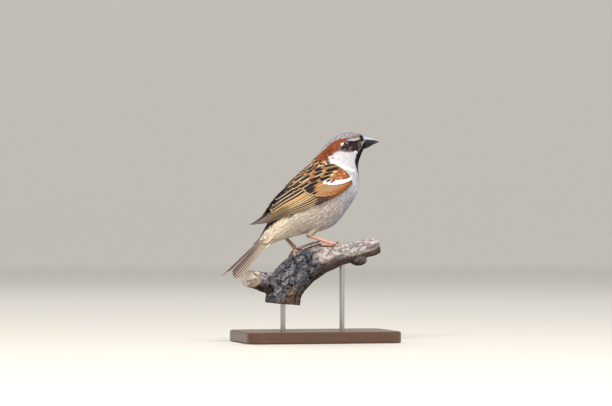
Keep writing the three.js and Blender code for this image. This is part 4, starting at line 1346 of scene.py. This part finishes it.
class SPARROW_OT_eyes(bpy.types.Operator):
    """Make the eyes and the rims of their lids"""

    bl_idname = "sparrow.eyes"
    bl_label = "Eyes"

    def execute(self, context):
        look = bpy.context.scene.sparrow_bare_parts
        cornea = attribute_material(
            "eye_cornea", 700.0, 0.9, 1.1, 0.0, Roughness=0.08, IOR=1.38, Specular_IOR_Level=0.1,
            Coat_Weight=1.0, Coat_Roughness=0.02, Coat_IOR=1.55)
        skin = attribute_material("eyelid_skin", 1400.0, 0.7, 1.1, 0.05, Roughness=0.55)
        rings, sides = 40, 48
        pp, aa = np.meshgrid(np.linspace(0.02, math.pi - 0.02, rings), around(sides), indexing="ij")
        out = EYE_RADIUS * (1 + 0.035 * np.exp(-(pp / 0.5) ** 2))
        radius = np.sin(pp) * EYE_RADIUS
        iris = np.array(look.iris) * (0.75 + 0.35 * np.sin(aa * 23) ** 2)[..., None]
        colours = np.where((radius < 1.15)[..., None], 0.002, iris)
        colours = blend(colours, (0.004, 0.003, 0.003), soft(radius, 2.2, 0.3)).reshape(-1, 3)
        for side, sign in SIDES.items():
            points = np.stack([EYE[0] + out * np.sin(pp) * np.cos(aa),
                               sign * (EYE[1] + out * np.cos(pp)),
                               EYE[2] + out * np.sin(pp) * np.sin(aa)], -1).reshape(-1, 3)
            faces = outward_faces(points - points.mean(0), ring_faces(rings, sides))
            add_piece(f"eye_ball_{side}", (points, faces, colours), cornea,
                      (f"eye_{side}",))
            self.lid(look, skin, side, sign)
        return {"FINISHED"}

    def lid(self, look, skin, side, sign):
        """A beaded rim of bare skin on the eyeball."""
        rings = 72
        angle = around(rings)
        upper = np.clip(np.sin(angle), 0, 1)
        lower = np.clip(-np.sin(angle), 0, 1)
        inner = 2.28 - 0.28 * upper - 0.1 * lower
        rows = []
        for inset, lift in ((0.0, 0.03), (0.02, 0.24), (0.3, 0.34), (0.72, 0.2), (0.75, -0.3),
                            (0.3, -0.3)):
            radius = inner + inset
            beads = 0.04 * np.abs(np.sin(angle * 18)) * (lift > 0.2)
            depth = np.sqrt(np.maximum(EYE_RADIUS ** 2 - np.minimum(radius, 2.9) ** 2, 0.1))
            # The lower lid stands further out, or the cheek would hide it.
            proud = lift + beads + lower * (0.4 + 0.9 * inset) * (inset > 0.1)
            rows.append(np.stack([EYE[0] + radius * np.cos(angle), sign * (EYE[1] + depth + proud),
                                  EYE[2] + radius * np.sin(angle)], -1))
        points = np.stack(rows, 1).reshape(-1, 3)
        count = len(rows)
        i, j = np.meshgrid(np.arange(rings), np.arange(count), indexing="ij")
        ni, nj = (i + 1) % rings, (j + 1) % count
        quads = np.stack([i * count + j, i * count + nj, ni * count + nj, ni * count + j], -1)
        faces = outward_faces(points - np.array([EYE[0], sign * 7.0, EYE[2]]),
                              [quads.reshape(-1, 4)])
        pale = np.repeat(soft(lower, 0.15, 0.4), count)
        colours = blend(evenly(look.lid, len(points)), look.lid_pale, pale * 0.9)
        add_piece(f"eyelid_{side}", (points, faces, colours), skin)


SHANK_PLATE, TOE_PLATE = 1.3, 0.9  # length of the plates on the legs, in mm


def scaly(thickness, plates, ends, tone, dark, strength):
    """The radius and the colours of a tube that is ringed with plates."""
    rim = lambda t: np.abs(((t * plates) % 1) - 0.5) * 2
    radius = lambda t, a: (thickness(t) * (1 + 0.05 * (0.5 - rim(t) ** 6))
                           * rounded_ends(t, *ends))
    shade = lambda t, a: blend(evenly(tone, *t.shape), dark, rim(t) ** 5 * strength)
    return radius, shade


class SPARROW_OT_legs(bpy.types.Operator):
    """Make the scaled shanks and toes, and the claws"""

    bl_idname = "sparrow.legs"
    bl_label = "Legs"

    def execute(self, context):
        look = bpy.context.scene.sparrow_bare_parts
        leather = attribute_material("leg_scales", 900.0, 0.8, 1.12, 0.06, Roughness=0.5, IOR=1.5,
                                     Subsurface_Weight=0.05, Subsurface_Scale=0.001)
        horn = mottled_material("claw_horn", look.claw, np.array(look.claw) * 0.5, 1200.0, 0.03,
                                Roughness=0.4, IOR=1.54)
        dark = np.array(look.leg_shade)
        # Height of a claw over the bark: it arches up from the end of its toe and down again.
        hump = lambda t: np.maximum(np.sin(math.pi * t), 0)
        arch = lambda t: 1.07 * (1 - 0.5 * t) + 1.1 * hump(np.minimum(np.asarray(t) + 0.12, 1))
        for side, leg in LEGS.items():
            # The far (left) leg takes the same colour painted darker, as painted shade.
            tone = np.array(look.near_leg) * (1.0 if side == "right" else 0.62)
            heel, turn = np.array(leg["heel"], float), math.radians(leg["round"])
            foot = perch_point(np.array(leg["along"]), np.array(turn), 2.1)
            radius, shade = scaly(lambda t: 1.25 * (1 + 0.35 * (2 * t - 1) ** 4),
                                  round(np.linalg.norm(foot - heel) / SHANK_PLATE), (0.03, 0.06),
                                  tone, dark, 0.8)
            parts = [tube(straight(heel, foot), radius, 120, 20, shade)]
            claws = []
            for step, swing, claw in TOES[side].values():
                path = lambda t, lift: perch_point(
                    leg["along"] + step * np.asarray(t), turn + np.radians(swing) * np.asarray(t),
                    lift)
                run = path(np.array([0, 0.5, 1.0]), 0.9)
                size = np.linalg.norm(np.diff(run, axis=0), axis=1).sum()
                start, begin = 1.7 / size * 0.6, 1 - 0.35 / size
                radius, shade = scaly(
                    lambda t: 0.9 * (1 - 0.22 * t + 0.07 * np.cos(6 * math.pi * t)),
                    max(round(size / TOE_PLATE), 6), (0.06, 0.06), tone, dark, 0.7)
                parts.append(tube(lambda t: path(start + (1 - start) * t, 1.2), radius, 90, 18,
                                  shade))
                claws.append(tube(lambda t: path(begin + claw * t, arch(t)),
                                  lambda t, a: 0.62 * np.clip(1 - t, 0, 1) ** 0.8 + 0.08, 36, 14,
                                  lambda t, a: evenly(0.1, *t.shape)))
            add_piece(f"leg_scales_{side}", join_parts(parts), leather,
                      [f"shank_{side}"] + [f"toe_{side}_{toe}" for toe in TOES[side]])
            add_piece(f"claws_{side}", join_parts(claws)[:2], horn,
                      [f"claw_{side}_{toe}" for toe in TOES[side]])
        return {"FINISHED"}


def evaluated_mesh(piece):
    """Replace a piece's mesh by what its modifiers make of it, and remove them."""
    graph = bpy.context.evaluated_depsgraph_get()
    mesh = bpy.data.meshes.new_from_object(piece.evaluated_get(graph))
    piece.modifiers.clear()
    piece.data = mesh
    return mesh


def flake_tree():
    """A Geometry Nodes tree that scatters loose flakes over a surface, and its inputs' keys."""
    tree = bpy.data.node_groups.new("bark_flakes", "GeometryNodeTree")
    keys = {}
    for name, kind in (("Bark", "Geometry"), ("Density", "Float"), ("Size", "Float"),
                       ("Seed", "Int"), ("Material", "Material"), ("Flakes", "Geometry")):
        keys[name] = tree.interface.new_socket(
            name=name, socket_type="NodeSocket" + kind,
            in_out="OUTPUT" if name == "Flakes" else "INPUT").identifier
    given = add_node(tree, "NodeGroupInput").outputs
    share = add_node(tree, "GeometryNodeInputNamedAttribute", {"data_type": "FLOAT"}, {
        "Name": "flaky"})
    dense = add_node(tree, "ShaderNodeMath", {"operation": "MULTIPLY"}, {
        0: given["Density"], 1: share.outputs["Attribute"]})
    spread = add_node(tree, "GeometryNodeDistributePointsOnFaces", inputs={
        "Mesh": given["Bark"], "Density": dense.outputs[0], "Seed": given["Seed"]})
    ball = add_node(tree, "GeometryNodeMeshIcoSphere", inputs={"Radius": 1.0, "Subdivisions": 2})
    rough = add_node(tree, "ShaderNodeTexNoise", inputs={"Scale": 1.6, "Detail": 3.0})
    shift = add_node(tree, "ShaderNodeVectorMath", {"operation": "SUBTRACT"}, {
        0: rough.outputs["Color"], 1: (0.5, 0.5, 0.5)})
    flake = add_node(tree, "GeometryNodeSetPosition", inputs={
        "Geometry": ball.outputs["Mesh"], "Offset": shift.outputs[0]})
    flat = add_node(tree, "GeometryNodeTransform", inputs={
        "Geometry": flake.outputs[0], "Scale": (1.0, 0.55, 0.28)})
    size = add_node(tree, "FunctionNodeRandomValue", {"data_type": "FLOAT"}, {
        "Min": 0.45, "Max": 1.0, "Seed": given["Seed"]})
    scaled = add_node(tree, "ShaderNodeMath", {"operation": "MULTIPLY"}, {
        0: size.outputs["Value"], 1: given["Size"]})
    twist = add_node(tree, "FunctionNodeRandomValue", {"data_type": "FLOAT_VECTOR"}, {
        0: (-0.3, -0.3, -math.pi), 1: (0.3, 0.3, math.pi), "Seed": given["Seed"]})
    turned = add_node(tree, "FunctionNodeRotateRotation", {"rotation_space": "LOCAL"}, {
        "Rotation": spread.outputs["Rotation"], "Rotate By": twist.outputs["Value"]})
    placed = add_node(tree, "GeometryNodeInstanceOnPoints", inputs={
        "Points": spread.outputs["Points"], "Instance": flat.outputs[0],
        "Rotation": turned.outputs[0], "Scale": scaled.outputs[0]})
    real = add_node(tree, "GeometryNodeRealizeInstances", inputs={
        "Geometry": placed.outputs[0]})
    dressed = add_node(tree, "GeometryNodeSetMaterial", inputs={
        "Geometry": real.outputs[0], "Material": given["Material"]})
    add_node(tree, "NodeGroupOutput", inputs={0: dressed.outputs[0]})
    return tree, keys


class SPARROW_OT_perch(bpy.types.Operator):
    """Cover the cut branch with cracked bark"""

    bl_idname = "sparrow.perch"
    bl_label = "Perch"

    def execute(self, context):
        look = context.scene.sparrow_perch
        piece = bpy.data.objects.new("perch_bark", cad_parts["perch"].data.copy())
        context.scene.collection.objects.link(piece)
        piece.data.materials.clear()
        piece.modifiers.new("weld", "WELD").merge_threshold = 0.01 * MM
        remesh = piece.modifiers.new("cells", "REMESH")
        remesh.mode = "VOXEL"
        remesh.voxel_size = look.voxel
        mesh = evaluated_mesh(piece)
        self.carve(mesh, look)
        mesh.polygons.foreach_set("use_smooth", np.ones(len(mesh.polygons), bool))
        bark = attribute_material("weathered_bark", 700.0, 0.82, 1.12, 0.2, Roughness=0.92,
                                  Specular_IOR_Level=0.2)
        finish_piece(piece, bark, ("perch",))
        self.flakes(piece, look)
        return {"FINISHED"}

    def flakes(self, bark, look):
        """Loose flakes scattered over the bark by a Geometry Nodes tree."""
        chip = mottled_material("bark_chips", look.bark_brown, look.bark, 500.0, 0.1,
                                Roughness=0.95)
        piece = bpy.data.objects.new("bark_flakes", bark.data)
        bpy.context.scene.collection.objects.link(piece)
        maker = piece.modifiers.new("flakes", "NODES")
        maker.node_group, keys = flake_tree()
        for name, value in (("Density", 45000.0), ("Size", 1.1 * MM), ("Seed", 4),
                            ("Material", chip)):
            maker[keys[name]] = value
        evaluated_mesh(piece)
        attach(piece, "root")

    def carve(self, mesh, look):
        """Relief and colours of the bark, from where each point lies along and round the branch."""
        count = len(mesh.vertices)
        co = np.empty(count * 3)
        mesh.vertices.foreach_get("co", co)
        co = co.reshape(-1, 3) / MM
        x, y, z = co.T
        normal = np.array([v.normal[:] for v in mesh.vertices])
        # The nearest of the points along the middle line, 20 to each row of the table.
        line = row_at(PERCH, np.linspace(0, 8, 161))
        middle_line = line[:, :2]
        nearest = np.argmin(np.hypot(x[:, None] - line[:, 0], z[:, None] - line[:, 1]), 1)
        s = nearest / 20
        axis = unit(np.gradient(middle_line, axis=0))[nearest]
        offset = co[:, [0, 2]] - middle_line[nearest]
        above = offset[:, 1] * axis[:, 0] - offset[:, 0] * axis[:, 1]
        below = -above / line[nearest, 2]
        turn = np.arctan2(y, above)
        steps = np.linalg.norm(np.diff(middle_line, axis=0), axis=1)
        along = np.concatenate([[0], np.cumsum(steps)])[nearest]
        centre, facing = np.array(SAWN_FACE["centre"]), unit(SAWN_FACE["facing"])
        sawn = (np.abs((co - centre) @ facing) < 0.6) & (normal @ facing > 0.8)

        # Noise of three sizes, then plates with cracks between them that run along the branch.
        octave = lambda scale, seed: np.array([
            noise.noise(Vector(point * scale) + Vector((seed, 0, 0))) for point in co])
        broad, middle, fine = octave(0.14, 3.0), octave(0.45, 9.0), octave(1.1, 17.0)
        bent = np.stack([along * 0.12 + 0.7 * broad, 2.3 * np.cos(turn) + 0.5 * middle,
                         2.3 * np.sin(turn) + 0.5 * broad], -1)
        plates = np.empty(count)
        for i, place in enumerate(bent):
            near = noise.voronoi(Vector(place))[0]
            plates[i] = near[1] - near[0]
        cracks = np.exp(-(plates / (0.07 + 0.3 * np.maximum(middle + 0.3 * fine, 0))) ** 2)
        cracks = cracks * soft(broad + 0.8 * fine + 0.5 * middle, -0.3, 0.3)
        wrinkles = np.array([
            noise.noise(Vector((a * 0.08, 3.4 * math.cos(r), 3.4 * math.sin(r) + 9)))
            for a, r in zip(along, turn)])
        # The old trunk on the left is furrowed, the younger arm nearly smooth.
        old = 1 - soft(s + 0.5 * broad, 3.9, 0.7)
        knot = np.exp(-((x - 29) / 5.5) ** 2 - ((z - 55) / 6) ** 2)
        grooves = np.exp(-(np.sin(x * 1.5 + z * 0.5 + 3 * middle) / 0.45) ** 2) * knot
        furrowed = 0.5 * broad + 0.35 * middle - 1.0 * cracks + 0.1 * fine
        smooth = 0.3 * broad + 0.22 * wrinkles + 0.1 * fine - 0.2 * cracks
        height = old * furrowed + (1 - old) * smooth - 0.7 * grooves - 0.3
        height[sawn] = 0.08 * fine[sawn]
        co = co + normal * height[:, None]
        mesh.vertices.foreach_set("co", (co * MM).ravel())
        mesh.update()

        x, y, z = co.T
        paint, young = Paint(look, "bark", count), Paint(look, "pale_bark_and_highlight", count)
        up = normal[:, 2]
        # Browner towards the underside: partly brown bark, partly painted shade.
        lower = soft(below + 0.7 * broad + 0.06 * (12 - along), 0.15, 0.5)
        paint.lay("bark_brown", lower * 0.85)
        # Partly painted highlight: the plates between the cracks are paler, less so towards the
        # underside.
        paint.lay("pale_bark_and_highlight", (soft(0.5 * plates + middle + 0.6 * fine, 0.35, 0.4)
                                * (0.6 - 0.35 * lower)))
        paint.lay("bark_dark", soft(middle - 0.3 * broad, 0.26, 0.2) * 0.7)
        # The young arm too is browner towards its underside, partly painted shade.
        young.lay("bark_brown", soft(below + 0.5 * wrinkles, 0.2, 0.5) * 0.85)
        young.lay("bark", soft(wrinkles + 0.5 * middle, 0.12, 0.3) * 0.6)
        young.lay("bark_brown", soft(middle - wrinkles + 0.4 * fine, 0.25, 0.3) * 0.5)
        paint.colour = blend(paint.colour, young.colour, 1 - old)
        # Painted shade: faces that turn downwards are painted darker brown.
        paint.lay("bark_brown", soft(-up, 0.35, 0.6) * 0.75, 0.6)
        paint.lay("bark_dark", np.maximum(cracks * (0.25 + 0.75 * old), grooves))
        # Painted light: round the stub, the bark is paler where it faces up.
        stub = np.clip((-x - 30) / 8, 0, 1)
        paint.lay("pale_bark_and_highlight", stub * soft(middle, 0.0, 0.3) * soft(up, 0.1, 0.5) * 0.7)

        # The sawn wood has yearly rings, and is browner towards its lower right edge.
        rings = np.linalg.norm(np.cross(co - centre, facing), axis=1)
        wood = Paint(look, "sawn", count)
        wood.colour *= (0.92 + 0.06 * np.sin(rings * 5.0 + 2 * middle) + 0.1 * fine)[:, None]
        towards_lower_right = 0.3 * (x - centre[0]) - 0.22 * (z - centre[2])
        wood.lay("bark_brown", soft(towards_lower_right + 1.6 * middle + 0.8 * fine, 0.7, 1.1) * 0.8, 1.3)
        mark(mesh, np.where(sawn[:, None], wood.colour, paint.colour))

        # Flakes cling to the old bark beside its cracks, off the sawn face and away from the feet.
        from_feet = np.min([np.abs(s - leg["along"]) for leg in LEGS.values()], axis=0)
        under_feet = (from_feet < 1.3) & (np.cos(turn) > -0.2)
        flaky = old * soft(cracks, 0.25, 0.3) * ~sawn * ~under_feet * (z > 18)
        layer = mesh.attributes.new("flaky", "FLOAT", "POINT")
        layer.data.foreach_set("value", flaky.astype(np.float32))


class SPARROW_OT_stand(bpy.types.Operator):
    """Give the stand its wood and steel"""

    bl_idname = "sparrow.stand"
    bl_label = "Stand"

    def execute(self, context):
        wood, tree, shader = new_material("stained_beech", Roughness=0.38, IOR=1.5,
                                          Coat_Weight=0.3, Coat_Roughness=0.2)
        grain = patches(tree, stretched(tree, (1.0, 12.0, 12.0)), 60.0, 8.0, 0.65, 0.4)
        colour = mixed(tree, grain, rgba(linear("2e1d13")), rgba(linear("6b4a33")))
        tree.links.new(colour, shader.inputs["Base Color"])
        steel, tree, shader = new_material("brushed_steel", Metallic=1.0, Roughness=0.32,
                                           Base_Color=rgba(linear("b9b8b5")))
        scratches = patches(tree, stretched(tree, (1.0, 1.0, 30.0)), 200.0, 3.0)
        relief(tree, shader, scratches, 0.15, 0.02 * MM)
        for name, material in (("stand_base", wood), ("stand_rod_1", steel),
                               ("stand_rod_2", steel)):
            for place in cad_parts[name].material_slots:
                place.material = material
        return {"FINISHED"}


# The studio's measures, in metres, and the camera's sensor, in mm.
PICTURE_WIDTH = 0.4284
SENSOR = 36
BIRD_RIGHT, BIRD_HEIGHT = -0.0063, 0.0973
FLOOR_RINGS = (0.0005, 0.3, 0.8, 1.6, 2.4, 3.0)
FLOOR_EDGE, BEND_RADIUS, WALL = 3.2, 1.6, 1.6
# Each light: metres to the right, towards the camera and up, then its size, watts and colour.
LIGHTS = {"key": ((-0.1, 1.05, 1.3), (1.2, 0.36), 34.0, "fff7ee"),
          "fill": ((1.3, 0.7, 0.7), (1.1, 1.1), 6.0, "e3ebfc"),
          "top": ((-0.2, -0.8, 1.6), (1.0, 1.0), 15.0, "ffffff")}


class SPARROW_OT_stage(bpy.types.Operator):
    """Set the pale paper, the soft lights and the camera"""

    bl_idname = "sparrow.stage"
    bl_label = "Stage"

    def execute(self, context):
        scene, look = context.scene, context.scene.sparrow_studio
        self.floor(look)
        right = Vector((math.cos(look.turn), math.sin(look.turn), 0))
        toward = Vector((math.sin(look.turn), -math.cos(look.turn), 0))
        target = right * BIRD_RIGHT + Vector((0, 0, BIRD_HEIGHT))
        camera = bpy.data.objects.new("camera", bpy.data.cameras.new("camera"))
        scene.collection.objects.link(camera)
        camera.location = target + toward * look.distance
        camera.rotation_euler = (-toward).to_track_quat("-Z", "Y").to_euler()
        camera.data.sensor_width = SENSOR
        camera.data.lens = SENSOR * look.distance / PICTURE_WIDTH
        camera.data.clip_end = 50
        scene.camera = camera

        for name, ((rightward, near, high), size, power, colour) in LIGHTS.items():
            place = right * rightward + toward * near + Vector((0, 0, high))
            lamp = bpy.data.lights.new(name, "AREA")
            lamp.shape = "RECTANGLE"
            lamp.size, lamp.size_y = size
            lamp.energy, lamp.color = power, tuple(linear(colour))
            light = bpy.data.objects.new(name, lamp)
            light.location = place
            light.rotation_euler = (target - place).to_track_quat("-Z", "Y").to_euler()
            scene.collection.objects.link(light)
        world = bpy.data.worlds.new("studio")
        world.use_nodes = True
        sky = world.node_tree.nodes["Background"].inputs
        sky[0].default_value, sky[1].default_value = rgba(linear("e9ebee")), 0.33
        scene.world = world
        scene.view_settings.view_transform = "Standard"
        return {"FINISHED"}

    def floor(self, look):
        """Matt paper that runs up into a round backdrop, and glows a little far from the bird."""
        paper, tree, shader = new_material("backdrop_paper", Roughness=0.9, Specular_IOR_Level=0.2)
        place = object_place(tree)
        colour = speckled(tree, place, 60.0, 0.985, 1.01, rgba(look.paper))
        tree.links.new(colour, shader.inputs["Base Color"])
        far = add_node(tree, "ShaderNodeVectorMath", {"operation": "LENGTH"}, {0: place})
        glow = ranged(tree, far.outputs["Value"], 0.5, 3.2, 0.0, 0.42)
        shader.inputs["Emission Color"].default_value = rgba(look.paper)
        tree.links.new(glow, shader.inputs["Emission Strength"])
        profile = [(r, 0.0) for r in FLOOR_RINGS]
        profile += [(FLOOR_EDGE + BEND_RADIUS * math.sin(a), BEND_RADIUS * (1 - math.cos(a)))
                    for a in np.linspace(0, math.pi / 2, 32)]
        profile += [(FLOOR_EDGE + BEND_RADIUS, BEND_RADIUS + WALL * k / 6) for k in range(1, 7)]
        sides = 96
        points = np.array([[(r * math.cos(a), r * math.sin(a), z) for a in around(sides)]
                           for r, z in profile]).reshape(-1, 3)
        quads, cap, _ = ring_faces(len(profile), sides)
        floor = make_mesh("floor", points / MM, [quads, cap])
        floor.data.materials.append(paper)


PIECES = (SPARROW_OT_stage, SPARROW_OT_skin, SPARROW_OT_head_coat, SPARROW_OT_body_coat,
          SPARROW_OT_thigh_coat, SPARROW_OT_wings, SPARROW_OT_tail, SPARROW_OT_bill,
          SPARROW_OT_eyes, SPARROW_OT_legs, SPARROW_OT_perch, SPARROW_OT_stand)
GROUPS = {"sparrow_plumage": SparrowPlumage, "sparrow_bare_parts": SparrowBareParts,
          "sparrow_perch": SparrowPerch, "sparrow_studio": SparrowStudio}


class SPARROW_PT_panel(bpy.types.Panel):
    """Buttons for the sparrow's pieces"""

    bl_idname = "SPARROW_PT_panel"
    bl_label = "House sparrow"
    bl_space_type = "VIEW_3D"
    bl_region_type = "UI"
    bl_category = "Sparrow"

    def draw(self, context):
        for piece in PIECES:
            self.layout.operator(piece.bl_idname)
        for name, group in GROUPS.items():
            box = self.layout.box()
            for key in group.__annotations__:
                box.prop(getattr(context.scene, name), key)


def register():
    for cls in (*GROUPS.values(), *PIECES, SPARROW_PT_panel):
        bpy.utils.register_class(cls)
    for name, group in GROUPS.items():
        setattr(bpy.types.Scene, name, PointerProperty(type=group))


def unregister():
    for name in GROUPS:
        delattr(bpy.types.Scene, name)
    for cls in reversed((*GROUPS.values(), *PIECES, SPARROW_PT_panel)):
        bpy.utils.unregister_class(cls)


def main():
    register()
    for piece in PIECES:
        family, action = piece.bl_idname.split(".")
        getattr(getattr(bpy.ops, family), action)()


if __name__ == "__main__":
    main()
